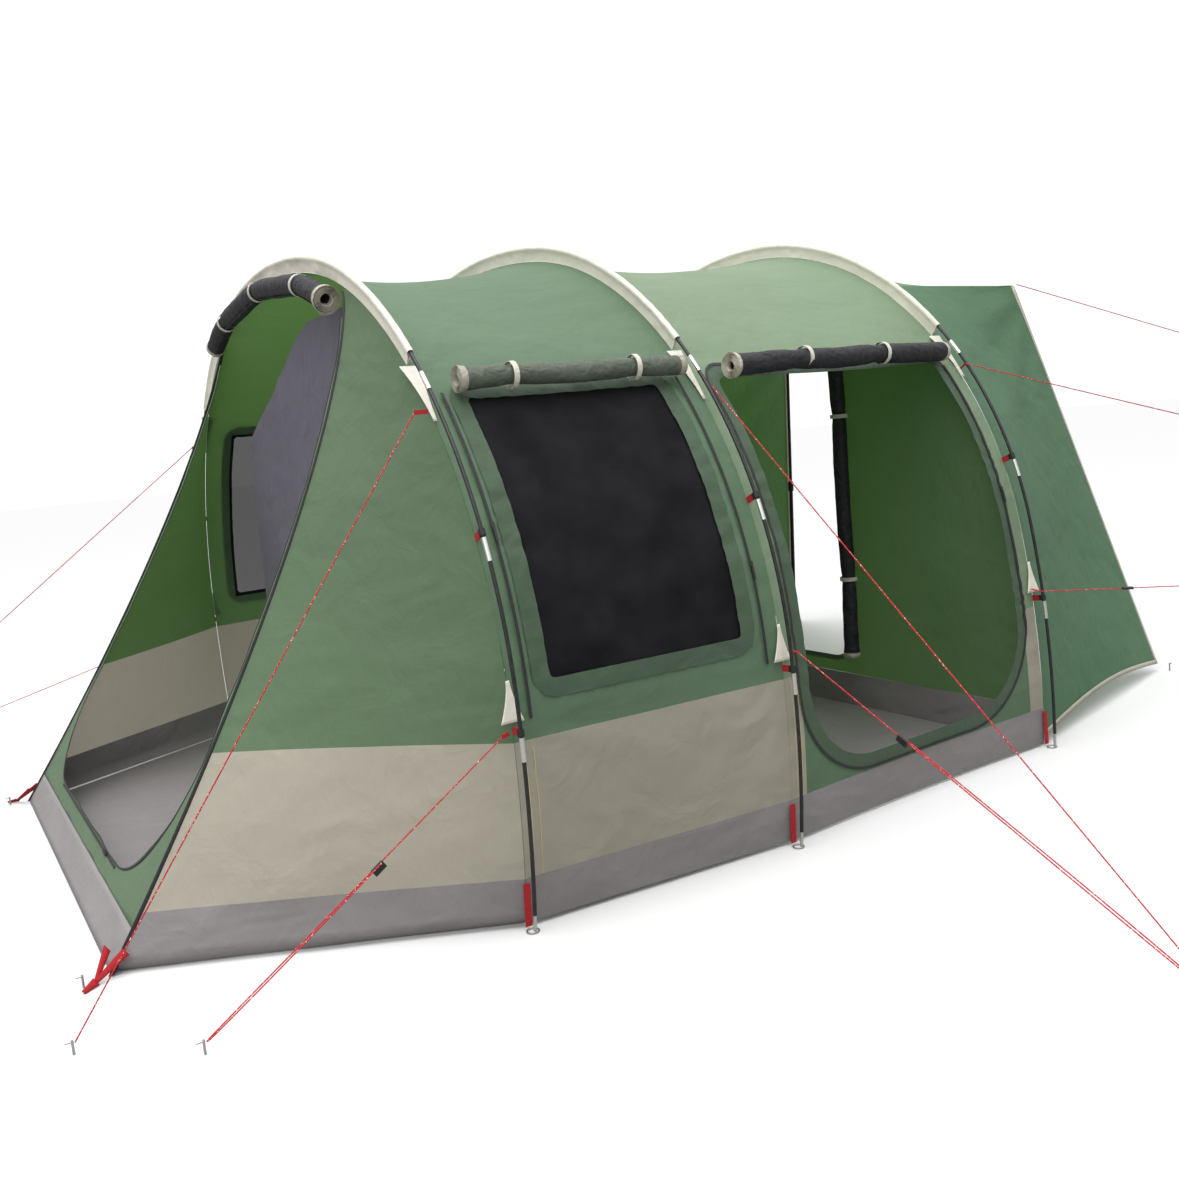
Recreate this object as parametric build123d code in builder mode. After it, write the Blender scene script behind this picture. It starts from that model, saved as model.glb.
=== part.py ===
"""Three-hoop tunnel tent with a front porch and a rear canopy on two upright poles.

Millimetres. +X runs from the porch to the canopy, +Z is up, and the origin is the point of the
ground under the middle of the middle hoop. The near side is -Y and the far side is +Y.
"""
import os
from math import cos, degrees, radians, sin

from build123d import *

os.makedirs("parts", exist_ok=True)

# ---- Hoops: three tangent arcs a side, in upright planes ----
POLE_R = 5.5
POLE_GROUND = 6.0            # the foot of a pole stands this high, on its ring
LEG_TURN = 11.9              # degrees that the leg arc turns
SHOULDER_TURN = 74.5         # degrees that the shoulder arc turns
HOOP_SHAPES = {              # name: (x, lean of the leg at its foot, radii of leg, shoulder, crown)
    "front": (-868.0, -9.1, (2864.0, 1377.0, 2199.0)),
    "middle": (0.0, -6.8, (2979.0, 1454.0, 2232.0)),
    "rear": (1265.0, -1.2, (3885.0, 1442.0, 1852.0)),
}
FIRST_JOINT = 493.0          # from the foot to the middle of the lowest ferrule
JOINT_PITCH = 510.0          # from one visible ferrule to the next
SIDE_JOINTS = 3
CROWN_SECTIONS = 5           # sections hidden in the sleeve
FERRULE_R = 7.0
FERRULE_LENGTH = 62.0
TIP_LENGTH = 46.0
TIP_R = 4.6
PIN_R = 2.0

# ---- Fabric ----
CLOTH = 2.4                  # thickness of a single skin
INSET = 44.0                 # from a pole's centre line in to the outer face of the skin
GAP = 0.4                    # clearance between neighbouring skins
TUB_TOP = 139.0              # top of the grey skirt
BAND_TOP = 505.0             # top of the beige band
SHEET_T = 2.0                # groundsheet
SLEEVE_START = 1625.0        # along the pole, from the foot to the sleeve's mouth
SLEEVE_INNER = 7.6
SLEEVE_OUTER = 9.2
SLEEVE_WEB = 2.0

# ---- Porch ----
PORCH_LENGTH = 947.0         # from the front hoop to the front corners
PORCH_TOP = 1755.0
PORCH_TOP_HALF = 690.0
PORCH_CORNER_HALF = 975.0

# ---- Canopy ----
CANOPY_TOP = (2166.0, 730.0, 1720.0)
CANOPY_FOOT = (2037.0, 684.0)
CANOPY_CORNER = (2465.0, 1169.0, 20.0)
CANOPY_RISE = 46.0           # crown of the canopy's rear edge above the pole tops
WING_LOW = 34.0
CANOPY_SPLIT = 890.0         # length of the lower tube
UPPER_TUBE_R = 8.0
UPPER_TUBE_BORE = 6.8
LOWER_TUBE_R = 10.0
LOWER_TUBE_BORE = 8.08
POLE_OVERLAP = 260.0

# ---- Doors, windows and rolls ----
WINDOW_X = (-752.0, -127.0)
WINDOW_Z = (645.0, 1390.0)
WINDOW_R = 20.0
ZIP_INSET = 40.0
WINDOW_ZIPS = (-815.0, -55.0)
WINDOW_ZIP_Z = (560.0, 1400.0)
WINDOW_ROLL_X = (-780.0, -44.0)
WINDOW_ROLL_Z = 1437.0
WINDOW_TOGGLES = (-613.0, -215.0)
SIDE_DOOR_X = (100.0, 1165.0)
SIDE_DOOR_Z = (190.0, 1400.0)
SIDE_DOOR_R = 150.0
SIDE_PANEL_X = (70.0, 1195.0)    # green cloth round the side door
SIDE_ZIP_X = 1200.0
SIDE_ZIP_Z = (440.0, 1380.0)
SIDE_ROLL_X = (208.0, 1218.0)
SIDE_ROLL_Z = 1437.0
SIDE_TOGGLES = (480.0, 860.0)
ROLL_R = 36.0
FRONT_SKIRT_TOP = 100.0
FRONT_SILL = 150.0
FRONT_STRIP = 30.0
FRONT_FOOT_HALF = 570.0
FRONT_CORNER = 300.0
FRONT_LEVELS = (0, 8, 25, 60, 110, 180, 300, 450, 650, 850, 1050, 1250, 1450, 1515)
FRONT_ZIP_HALF = 560.0
FRONT_SLIDER_Y = -420.0
FRONT_ROLL_R = 34.0
FRONT_ROLL = (2150.0, 3590.0)
FRONT_ROLL_INSET = 80.0
FRONT_TOGGLES = (2400.0, 2870.0, 3340.0)
REAR_DOOR_HALF = 560.0
REAR_DOOR_Z = (205.0, 1560.0)
REAR_DOOR_R = 230.0
REAR_ROLL = (1214.0, -600.0, 34.0)
REAR_ROLL_Z = (230.0, 1480.0)
REAR_TOGGLES = (560.0, 1230.0)

# ---- Inner tent ----
INNER_INSET = 105.0
INNER_X = -851.0
INNER_DEPTH = 780.0
INNER_EDGE = ((-273.0, 1715.0), (141.0, 1554.0), (573.0, 1354.0), (657.0, 1031.0), (689.0, 652.0),
              (700.0, 60.0))

# ---- Trim ----
CLIP_STATIONS = (536.0, 1049.0)
WEBBING = 20.0
PATCHES = ((1510.0, 200.0), (612.0, 88.0))   # middle along the pole, size
PATCH_INSET = 38.0
LINE_R = 1.6
LINE_GAP = 3.2
PULL_SIGN = -1
GUYS = {                     # name: (root outside the cloth, loop at the tab's tip, far end)
    "front_upper": ((-884, -1252, 1354), (-925, -1256, 1354), (-1941, -1332, 6)),
    "front_lower": ((-884, -1525, 536), (-906, -1528, 532), (-1702, -1539, 6)),
    "middle_upper": ((17, -1286, 1353), (17, -1304, 1362), (82, -2703, 6)),
    "middle_lower": ((17, -1562, 590), (17, -1600, 588), (36, -2723, 6)),
    "rear_upper": ((1248, -1194, 1364), (1248, -1216, 1380), (1917, -1669, 1109)),
    "rear_lower": ((1248, -1457, 572), (1248, -1494, 565), (1690, -1790, 540)),
    "far_upper": ((-884, 1252, 1354), (-925, 1256, 1354), (-2610, 1721, 6)),
    "far_lower": ((-884, 1525, 536), (-906, 1528, 532), (-2668, 1932, 6)),
    "canopy": ((2168, -732, 1722), (2180, -738, 1722), (2929, -1091, 1428)),
}
PEGGED = ("front_upper", "front_lower", "middle_upper", "middle_lower", "far_upper", "far_lower")
CORNER_PEGS = ((-1879, -990), (-1879, 990), (2500, -1200), (2500, 1200))
RUNNER_AT = {"front_lower": 430.0, "middle_lower": 420.0, "rear_lower": 300.0}
SHEET_OUTLINE = ((-1800.0, 930.0), (-868.0, 1440.0), (0.0, 1490.0), (1262.0, 1430.0))


class Hoop:
    """An arch in the plane x = const, measured along the pole from its near foot."""

    def __init__(self, x, lean, radii):
        self.x = x
        self.lean = lean
        self.radii = radii
        self.turns = (LEG_TURN, SHOULDER_TURN, 90 - lean - LEG_TURN - SHOULDER_TURN)
        self.lengths = [r * radians(t) for r, t in zip(radii, self.turns)]
        self.half_length = sum(self.lengths)
        self.length = 2 * self.half_length
        self.half_width = 0.0
        self.half_width = -self.near(self.half_length, 0)[0]

    def near(self, s, inset):
        """(y, z, turn) on the near half; turn is the angle from the vertical."""
        y, z, turn = -self.half_width, POLE_GROUND, self.lean
        left = s
        for radius, sweep_angle in zip(self.radii, self.turns):
            step = min(sweep_angle, degrees(max(left, 0) / radius))
            after = turn + step
            y += radius * (cos(radians(turn)) - cos(radians(after)))
            z += radius * (sin(radians(after)) - sin(radians(turn)))
            turn = after
            left -= radius * radians(step)
        if not self.half_width:
            y = -y
        return y + inset * cos(radians(turn)), z - inset * sin(radians(turn)), turn

    def at(self, s, inset=0.0):
        """Point on the arch at length s, moved inward by inset."""
        y, z, _ = self.near(min(s, self.length - s), inset)
        return Vector(self.x, y if s <= self.half_length else -y, z)

    def flat(self, s, inset=0.0):
        """The same point in the hoop's own plane."""
        point = self.at(s, inset)
        return (point.Y, point.Z)

    def plane(self, s):
        """Plane across the pole at s: x inward, z along the pole, going up on both sides."""
        y, z, turn = self.near(min(s, self.length - s), 0)
        side = 1 if s <= self.half_length else -1
        inward = Vector(0, side * cos(radians(turn)), -sin(radians(turn)))
        along = Vector(0, side * sin(radians(turn)), cos(radians(turn)))
        return Plane(origin=(self.x, side * y, z), x_dir=inward, z_dir=along)

    def breaks(self, start, stop):
        """Lengths where the arch changes radius, between start and stop."""
        marks = [self.lengths[0], self.lengths[0] + self.lengths[1]]
        marks += [self.length - m for m in marks]
        return [start] + sorted(m for m in marks if start < m < stop) + [stop]

    def station(self, z, inset):
        """Length along the near half at which the inset curve reaches height z."""
        low, high = 0.0, self.half_length
        for _ in range(40):
            middle = (low + high) / 2
            if self.near(middle, inset)[1] < z:
                low = middle
            else:
                high = middle
        return low

    def near_y(self, z, inset):
        return self.near(self.station(z, inset), inset)[0]


def blend_hoops(a, b, x):
    """The shape that the cloth takes between two hoops, at x."""
    f = (x - a.x) / (b.x - a.x)
    radii = tuple(ra + f * (rb - ra) for ra, rb in zip(a.radii, b.radii))
    return Hoop(x, a.lean + f * (b.lean - a.lean), radii)


HOOPS = {name: Hoop(*shape) for name, shape in HOOP_SHAPES.items()}
FRONT, MIDDLE, REAR = HOOPS["front"], HOOPS["middle"], HOOPS["rear"]
PORCH_ARCH = Hoop(FRONT.x - 46, FRONT.lean, FRONT.radii)


def save(part, name):
    part.label = name
    export_step(part, f"parts/{name}.step")


def arch_wire(hoop, start, stop, inset=0.0):
    """Path along an arch between two stations, as tangent arcs, in the active line."""
    marks = hoop.breaks(start, stop)
    for a, b in zip(marks, marks[1:]):
        ThreePointArc(hoop.at(a, inset), hoop.at((a + b) / 2, inset), hoop.at(b, inset))


def bar_on_arch(hoop, start, stop, outer, inner=0.0, inset=0.0):
    """A round bar or pipe along the arch, in the active part."""
    with BuildLine() as path:
        arch_wire(hoop, start, stop, inset)
    with BuildSketch(Plane(origin=path.line @ 0, z_dir=path.line % 0)) as section:
        Circle(outer)
        if inner:
            Circle(inner, mode=Mode.SUBTRACT)
    sweep(section.sketch, path=path.line)


def strip_on_arch(hoop, start, stop, inset, width, thickness):
    """A flat strip lying on the arch's surface, width along x, in the active part."""
    with BuildLine() as path:
        arch_wire(hoop, start, stop, inset)
    with BuildSketch(Plane(origin=path.line @ 0, x_dir=(1, 0, 0), z_dir=path.line % 0)) as section:
        Rectangle(width, thickness)
    sweep(section.sketch, path=path.line)


def band_face(x, hoop, start, stop, outer, inner, floor=None):
    """Closed strip between two insets of an arch, as a sketch in the plane at x."""
    marks = hoop.breaks(start, stop)
    with BuildSketch(Plane.YZ.offset(x)) as strip:
        with BuildLine():
            for inset in (outer, inner):
                for a, b in zip(marks, marks[1:]):
                    ThreePointArc(hoop.flat(a, inset), hoop.flat((a + b) / 2, inset), hoop.flat(b, inset))
            for s in (start, stop):
                ends = (hoop.flat(s, outer), hoop.flat(s, inner))
                if floor is None:
                    Line(*ends)
                else:
                    Polyline(ends[0], (ends[0][0], floor), (ends[1][0], floor), ends[1])
        make_face()
    return strip.sketch


def bay_shell(hoop_a, hoop_b, inset=INSET, thickness=CLOTH):
    """The skin from one hoop to the next, from the floor over to the floor, in the active part."""
    ends = []
    for hoop, x in ((hoop_a, hoop_a.x + GAP), (hoop_b, hoop_b.x - GAP)):
        ends.append(band_face(x, hoop, 0, hoop.length, inset, inset + thickness, SHEET_T + GAP))
    loft(ends)


def keep_between(z_low, z_high):
    """Trim the active part to a range of heights."""
    with Locations((0, 0, (z_low + z_high) / 2)):
        Box(9000, 9000, z_high - z_low, mode=Mode.INTERSECT)


def wall_box(x, z, side, radius, mode):
    """A block through one side wall, with rounded corners, over ranges of x and z."""
    middle = ((x[0] + x[1]) / 2, (z[0] + z[1]) / 2)
    with BuildSketch(Plane.XZ.offset(-side * 300)) as outline:
        with Locations(middle):
            RectangleRounded(x[1] - x[0], z[1] - z[0], radius)
    extrude(outline.sketch, amount=1900, dir=(0, side, 0), mode=mode)


def flat_bar(start, end, width, thickness, across):
    """A flat strip from one point to another; across is the direction of its width."""
    start, end = Vector(*start), Vector(*end)
    with BuildSketch(Plane(origin=start, x_dir=Vector(*across), z_dir=end - start)) as section:
        Rectangle(width, thickness)
    extrude(section.sketch, amount=(end - start).length)


def round_bar(start, end, radius, bore=0.0):
    """A round bar or pipe from one point to another, in the active part."""
    start, end = Vector(*start), Vector(*end)
    with BuildSketch(Plane(origin=start, z_dir=end - start)) as section:
        Circle(radius)
        if bore:
            Circle(bore, mode=Mode.SUBTRACT)
    extrude(section.sketch, amount=(end - start).length)


def level_loft(levels, corners):
    """A thin wall through horizontal quadrilaterals, in the active part."""
    faces = []
    for z in levels:
        with BuildSketch(Plane.XY.offset(z)) as quad:
            Polygon(*corners(z), align=None)
        faces.append(quad.sketch)
    loft(faces, ruled=True)


def wall_quad(a, b, thickness):
    """Plan of a wall from a to b, with its thickness on the side of y = 0."""
    along = Vector(b[0] - a[0], b[1] - a[1], 0).normalized()
    inward = Vector(-along.Y, along.X, 0) * thickness
    if (inward.Y > 0) != (a[1] + b[1] < 0):
        inward = -inward
    return [a, b, (b[0] + inward.X, b[1] + inward.Y), (a[0] + inward.X, a[1] + inward.Y)]


def seam_levels(low, high, count):
    return [low + (high - low) * k / count for k in range(count + 1)]


def feet(hoop):
    """Foot point and direction of the pole, near side then far side."""
    for s in (0, hoop.length):
        frame = hoop.plane(s)
        yield frame.origin, frame.z_dir


# ---------------------------------------------------------------- hoops
def joints_of(hoop):
    """Stations of the ferrules: three up each leg, the rest even over the crown."""
    low = [FIRST_JOINT + k * JOINT_PITCH for k in range(SIDE_JOINTS)]
    crown = hoop.length - 2 * low[-1]
    middle = [low[-1] + crown * k / CROWN_SECTIONS for k in range(1, CROWN_SECTIONS)]
    return low + middle + [hoop.length - s for s in reversed(low)]


def both_sides(hoop, stations):
    return list(stations) + [hoop.length - s for s in stations]


def pole_sections(hoop):
    """Eleven separate lengths of pole, in the active part."""
    stops = [TIP_LENGTH] + joints_of(hoop) + [hoop.length - TIP_LENGTH]
    for a, b in zip(stops, stops[1:]):
        bar_on_arch(hoop, a + 0.2, b - 0.2, POLE_R)


def sleeve_on(hoop):
    """Round sleeve and the web that joins it to the roof, in the active part."""
    stop = hoop.length - SLEEVE_START
    bar_on_arch(hoop, SLEEVE_START, stop, SLEEVE_OUTER, SLEEVE_INNER)
    web = band_face(hoop.x - SLEEVE_WEB / 2, hoop, SLEEVE_START, stop, SLEEVE_INNER + 0.6, INSET - GAP)
    extrude(web, amount=SLEEVE_WEB)


with BuildPart() as front_pole:
    pole_sections(FRONT)
save(front_pole.part, "hoop_front_pole")

with BuildPart() as middle_pole:
    pole_sections(MIDDLE)
save(middle_pole.part, "hoop_middle_pole")

with BuildPart() as rear_pole:
    pole_sections(REAR)
save(rear_pole.part, "hoop_rear_pole")

with BuildPart() as ferrules:
    for hoop in HOOPS.values():
        for s in joints_of(hoop):
            bar_on_arch(hoop, s - FERRULE_LENGTH / 2, s + FERRULE_LENGTH / 2, FERRULE_R, POLE_R + 0.1)
save(ferrules.part, "pole_ferrules")

with BuildPart() as tips:
    for hoop in HOOPS.values():
        for foot, along in feet(hoop):
            round_bar(foot, foot + along * (TIP_LENGTH - 0.4), TIP_R, PIN_R + 0.2)
save(tips.part, "pole_tips")

with BuildPart() as ring_pins:
    for hoop in HOOPS.values():
        for foot, along in feet(hoop):
            inward = -1 if foot.Y > 0 else 1
            with Locations((foot.X, foot.Y + inward * 13, 2.4)):
                Torus(16, 1.9)
            round_bar(foot - along * 2.6, foot + along * 34, PIN_R)
save(ring_pins.part, "foot_ring_pins")

with BuildPart() as foot_straps:
    for hoop in HOOPS.values():
        for side in (-1, 1):
            low = Vector(hoop.x, -side * hoop.near_y(8, 33), 8)
            high = Vector(hoop.x, -side * hoop.near_y(128, 38), 128)
            flat_bar(low, high, WEBBING, 1.8, (1, 0, 0))
save(foot_straps.part, "foot_straps")

with BuildPart() as clips:
    for hoop in HOOPS.values():
        for s in both_sides(hoop, CLIP_STATIONS):
            with BuildSketch(hoop.plane(s)) as hook:
                Circle(POLE_R + 3.4)
                with Locations((10, 0)):
                    Rectangle(9, 7)
                Circle(POLE_R + 0.3, mode=Mode.SUBTRACT)
            extrude(hook.sketch, amount=9, both=True)
save(clips.part, "pole_clips")

with BuildPart() as clip_webbing:
    for hoop in HOOPS.values():
        for s in both_sides(hoop, CLIP_STATIONS):
            with BuildSketch(hoop.plane(s)) as web:
                with Locations((29.0, 0)):
                    Rectangle(28, 4)
            extrude(web.sketch, amount=WEBBING / 2, both=True)
save(clip_webbing.part, "clip_webbing")

with BuildPart() as front_sleeve:
    sleeve_on(FRONT)
save(front_sleeve.part, "sleeve_front")

with BuildPart() as middle_sleeve:
    sleeve_on(MIDDLE)
save(middle_sleeve.part, "sleeve_middle")

with BuildPart() as rear_sleeve:
    sleeve_on(REAR)
save(rear_sleeve.part, "sleeve_rear")

with BuildPart() as patches:
    for hoop in HOOPS.values():
        for middle_s, size in PATCHES:
            for s in both_sides(hoop, [middle_s]):
                frame = hoop.plane(s)
                with BuildSketch(Plane(hoop.at(s, PATCH_INSET), x_dir=(1, 0, 0), z_dir=frame.x_dir)) as patch:
                    up = 1 if patch.workplanes[0].y_dir.Z > 0 else -1
                    half = size / 2
                    Polygon((0, up * half), (-half * 0.36, -up * half), (half * 0.36, -up * half), align=None)
                extrude(patch.sketch, amount=1.2)
save(patches.part, "corner_patches")

# ---------------------------------------------------------------- bays between the hoops
with BuildPart() as front_bay:
    bay_shell(FRONT, MIDDLE)
with BuildPart() as rear_bay:
    bay_shell(MIDDLE, REAR)

with BuildPart() as skirt:
    add(front_bay.part)
    add(rear_bay.part)
    keep_between(SHEET_T + GAP, TUB_TOP - GAP)
save(skirt.part, "bay_mud_skirt")

with BuildPart() as band:
    add(front_bay.part)
    add(rear_bay.part)
    keep_between(TUB_TOP, BAND_TOP - GAP)
    wall_box(SIDE_PANEL_X, (0, 900), -1, 1, Mode.SUBTRACT)
save(band.part, "bay_beige_band")

with BuildPart() as front_roof:
    add(front_bay.part)
    keep_between(BAND_TOP, 2200)
    for side in (-1, 1):
        wall_box(WINDOW_X, WINDOW_Z, side, WINDOW_R, Mode.SUBTRACT)
save(front_roof.part, "bay_roof_front")

with BuildPart() as rear_roof:
    add(rear_bay.part)
    keep_between(BAND_TOP, 2200)
    wall_box(SIDE_DOOR_X, SIDE_DOOR_Z, -1, SIDE_DOOR_R, Mode.SUBTRACT)
save(rear_roof.part, "bay_roof_rear")


def window_pane(side):
    """Netting that fills the window of one side wall."""
    with BuildPart() as pane:
        add(front_bay.part)
        wall_box((WINDOW_X[0] + GAP, WINDOW_X[1] - GAP), (WINDOW_Z[0] + GAP, WINDOW_Z[1] - GAP), side,
                 WINDOW_R, Mode.INTERSECT)
    return pane.part


with BuildPart() as window_mesh:
    for side in (-1, 1):
        add(window_pane(side))
save(window_mesh.part, "window_mesh")

with BuildPart() as groundsheet:
    with BuildSketch():
        with BuildLine():
            Polyline(*SHEET_OUTLINE, *[(x, -y) for x, y in reversed(SHEET_OUTLINE)], close=True)
        make_face()
    extrude(amount=SHEET_T)
save(groundsheet.part, "groundsheet")


# ---------------------------------------------------------------- porch
def porch_edge(z):
    """Free front edge of the porch wall on the near side."""
    up = max(1 - z / PORCH_TOP, 0)
    return (FRONT.x - PORCH_LENGTH * up ** 1.28,
            -(PORCH_TOP_HALF + (PORCH_CORNER_HALF - PORCH_TOP_HALF) * up ** 0.6))


def porch_side(z):
    return wall_quad((FRONT.x - 3.2, FRONT.near_y(z, INSET)), porch_edge(z), CLOTH)


def front_opening(z):
    """Half width of the front door's opening, which is rounded at its foot."""
    top = min(porch_edge(z)[1] + FRONT_STRIP, -FRONT_FOOT_HALF)
    low = max(1 - (z - FRONT_SILL) / FRONT_CORNER, 0)
    foot = -(FRONT_FOOT_HALF + FRONT_CORNER * (max(1 - low * low, 0)) ** 0.5)
    return max(top, foot) if low > 0 else porch_edge(z)[1] + FRONT_STRIP


def front_strip(z):
    x, y = porch_edge(z)
    inner = front_opening(z)
    return [(x + 3, y + 3.2), (x + 3, inner), (x + 3 + CLOTH, inner), (x + 3 + CLOTH, y + 3.2)]


def front_panel(z):
    x, y = porch_edge(z)
    return [(x + 3, y + 3.2), (x + 3, -y - 3.2), (x + 3 + CLOTH, -y - 3.2), (x + 3 + CLOTH, y + 3.2)]


with BuildPart() as porch_skirt:
    level_loft(seam_levels(SHEET_T + GAP, TUB_TOP - GAP, 1), porch_side)
    mirror(about=Plane.XZ)
    level_loft(seam_levels(SHEET_T + GAP, FRONT_SKIRT_TOP - GAP, 1), front_panel)
save(porch_skirt.part, "porch_mud_skirt")

with BuildPart() as porch_band:
    level_loft(seam_levels(TUB_TOP, BAND_TOP - GAP, 4), porch_side)
    mirror(about=Plane.XZ)
save(porch_band.part, "porch_beige_band")

with BuildPart() as porch_walls:
    level_loft(seam_levels(BAND_TOP, PORCH_TOP - 14, 10), porch_side)
    mirror(about=Plane.XZ)
save(porch_walls.part, "porch_walls")

with BuildPart() as door_frame:
    level_loft([FRONT_SILL + d for d in FRONT_LEVELS], front_strip)
    mirror(about=Plane.XZ)
save(door_frame.part, "front_door_strips")

def side_sill():
    """Green cloth below the side door's opening."""
    with BuildPart() as sill:
        add(rear_bay.part)
        keep_between(TUB_TOP, BAND_TOP - GAP)
        wall_box((SIDE_PANEL_X[0] + GAP, SIDE_PANEL_X[1] - GAP), (0, 900), -1, 1, Mode.INTERSECT)
        wall_box(SIDE_DOOR_X, SIDE_DOOR_Z, -1, SIDE_DOOR_R, Mode.SUBTRACT)
    return sill.part


with BuildPart() as door_sills:
    level_loft(seam_levels(FRONT_SKIRT_TOP, FRONT_SILL - GAP, 2), front_panel)
    add(side_sill())
save(door_sills.part, "door_sills")


def front_face(z):
    """Point on the porch's leaning front at a height, its upward direction and its outward one."""
    low, high = porch_edge(z - 4), porch_edge(z + 4)
    up = Vector(high[0] - low[0], 0, 8).normalized()
    return Vector(porch_edge(z)[0] + 3, 0, z), up, Vector(-up.Z, 0, up.X)


with BuildPart() as front_zip:
    middle, up, out = front_face(FRONT_SILL - 7)
    middle += out * 2
    half = Vector(0, FRONT_ZIP_HALF, 0)
    flat_bar(middle - half, middle + half, 8, 1.4, up)
save(front_zip.part, "front_door_zip")

with BuildPart() as front_roll:
    bar_on_arch(PORCH_ARCH, *FRONT_ROLL, FRONT_ROLL_R, inset=FRONT_ROLL_INSET)
save(front_roll.part, "front_door_roll")

with BuildPart() as front_toggles:
    for s in FRONT_TOGGLES:
        bar_on_arch(PORCH_ARCH, s - 9, s + 9, FRONT_ROLL_R + 2, FRONT_ROLL_R + 0.3, FRONT_ROLL_INSET)
save(front_toggles.part, "front_door_toggles")


# ---------------------------------------------------------------- side openings
def wall_at(x):
    """The arch of the skin at any x between the front and rear hoops."""
    return blend_hoops(FRONT, MIDDLE, x) if x < 0 else blend_hoops(MIDDLE, REAR, x)


def roll_axis(x, z, radius):
    return [Vector(k, wall_at(k).near_y(z, INSET - radius - 6), z) for k in x]


def roll_on_wall(x, z, radius):
    """A rolled panel on the near wall, in the active part."""
    round_bar(*roll_axis(x, z, radius), radius)


def roll_band(x, z, radius, at):
    """A narrow loop round a rolled panel, in the active part."""
    start, end = roll_axis(x, z, radius)
    along = (end - start).normalized()
    middle = start + along * (at - x[0])
    round_bar(middle - along * 8, middle + along * 8, radius + 1.8, radius + 0.4)


def zip_on_wall(x, z):
    arch = wall_at(x)
    strip_on_arch(arch, arch.station(z[0], INSET), arch.station(z[1], INSET), ZIP_INSET, 8, 1.4)


with BuildPart() as window_cover:
    roll_on_wall(WINDOW_ROLL_X, WINDOW_ROLL_Z, ROLL_R)
    mirror(about=Plane.XZ)
save(window_cover.part, "window_cover_rolls")

with BuildPart() as roll_toggles:
    for x in WINDOW_TOGGLES:
        roll_band(WINDOW_ROLL_X, WINDOW_ROLL_Z, ROLL_R, x)
    mirror(about=Plane.XZ)
    for x in SIDE_TOGGLES:
        roll_band(SIDE_ROLL_X, SIDE_ROLL_Z, ROLL_R, x)
save(roll_toggles.part, "side_roll_toggles")

with BuildPart() as window_zips:
    for x in WINDOW_ZIPS:
        zip_on_wall(x, WINDOW_ZIP_Z)
save(window_zips.part, "window_zips")

with BuildPart() as side_roll:
    roll_on_wall(SIDE_ROLL_X, SIDE_ROLL_Z, ROLL_R)
save(side_roll.part, "side_door_roll")

with BuildPart() as side_zip:
    zip_on_wall(SIDE_ZIP_X, SIDE_ZIP_Z)
save(side_zip.part, "side_door_zip")


# ---------------------------------------------------------------- rear wall, inner tent
def inside_arch(x, inset, bottom):
    """The whole area inside an arch above a height, as a face in the plane at x."""
    arch = REAR if x > 600 else FRONT
    low = arch.station(bottom, inset)
    marks = arch.breaks(low, arch.length - low)
    with BuildSketch(Plane.YZ.offset(x)) as area:
        with BuildLine():
            for a, b in zip(marks, marks[1:]):
                ThreePointArc(arch.flat(a, inset), arch.flat((a + b) / 2, inset), arch.flat(b, inset))
            Line(arch.flat(low, inset), arch.flat(arch.length - low, inset))
        make_face()
    return area.sketch


with BuildPart() as rear_wall:
    extrude(inside_arch(REAR.x - 8, INSET + CLOTH + 0.6, TUB_TOP), amount=CLOTH)
    with BuildSketch(Plane.YZ.offset(REAR.x - 12)) as door:
        with Locations((0, (REAR_DOOR_Z[0] + REAR_DOOR_Z[1]) / 2)):
            RectangleRounded(2 * REAR_DOOR_HALF, REAR_DOOR_Z[1] - REAR_DOOR_Z[0], REAR_DOOR_R)
    extrude(door.sketch, amount=20, mode=Mode.SUBTRACT)
save(rear_wall.part, "rear_wall")

with BuildPart() as rear_skirt:
    wide = -REAR.near_y(TUB_TOP / 2, INSET + CLOTH + 6)
    with Locations((REAR.x - 6.8, 0, (SHEET_T + TUB_TOP) / 2)):
        Box(CLOTH, 2 * wide, TUB_TOP - SHEET_T - 2 * GAP)
save(rear_skirt.part, "rear_mud_skirt")

with BuildPart() as rear_roll:
    round_bar((REAR_ROLL[0], REAR_ROLL[1], REAR_ROLL_Z[0]), (REAR_ROLL[0], REAR_ROLL[1], REAR_ROLL_Z[1]),
              REAR_ROLL[2])
save(rear_roll.part, "rear_door_roll")

with BuildPart() as rear_toggles:
    for z in REAR_TOGGLES:
        round_bar((REAR_ROLL[0], REAR_ROLL[1], z - 8), (REAR_ROLL[0], REAR_ROLL[1], z + 8),
                  REAR_ROLL[2] + 1.8, REAR_ROLL[2] + 0.4)
save(rear_toggles.part, "rear_door_toggles")

with BuildPart() as inner_front:
    stations = [FRONT.station(z, INNER_INSET) for z in (60, 400, 800, 1150, 1450, 1640)]
    with BuildSketch(Plane.YZ.offset(INNER_X)):
        with BuildLine():
            Polyline(*[FRONT.flat(s, INNER_INSET) for s in stations], *INNER_EDGE, close=True)
        make_face()
    extrude(amount=1.6)
save(inner_front.part, "inner_tent_front")

with BuildPart() as inner_side:
    bay_shell(FRONT, MIDDLE, INNER_INSET, 1.6)
    keep_between(60, 1560)
    with Locations((-434, -1000, 800)):
        Box(INNER_DEPTH, 2000, 2000, mode=Mode.INTERSECT)
save(inner_side.part, "inner_tent_side")


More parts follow.
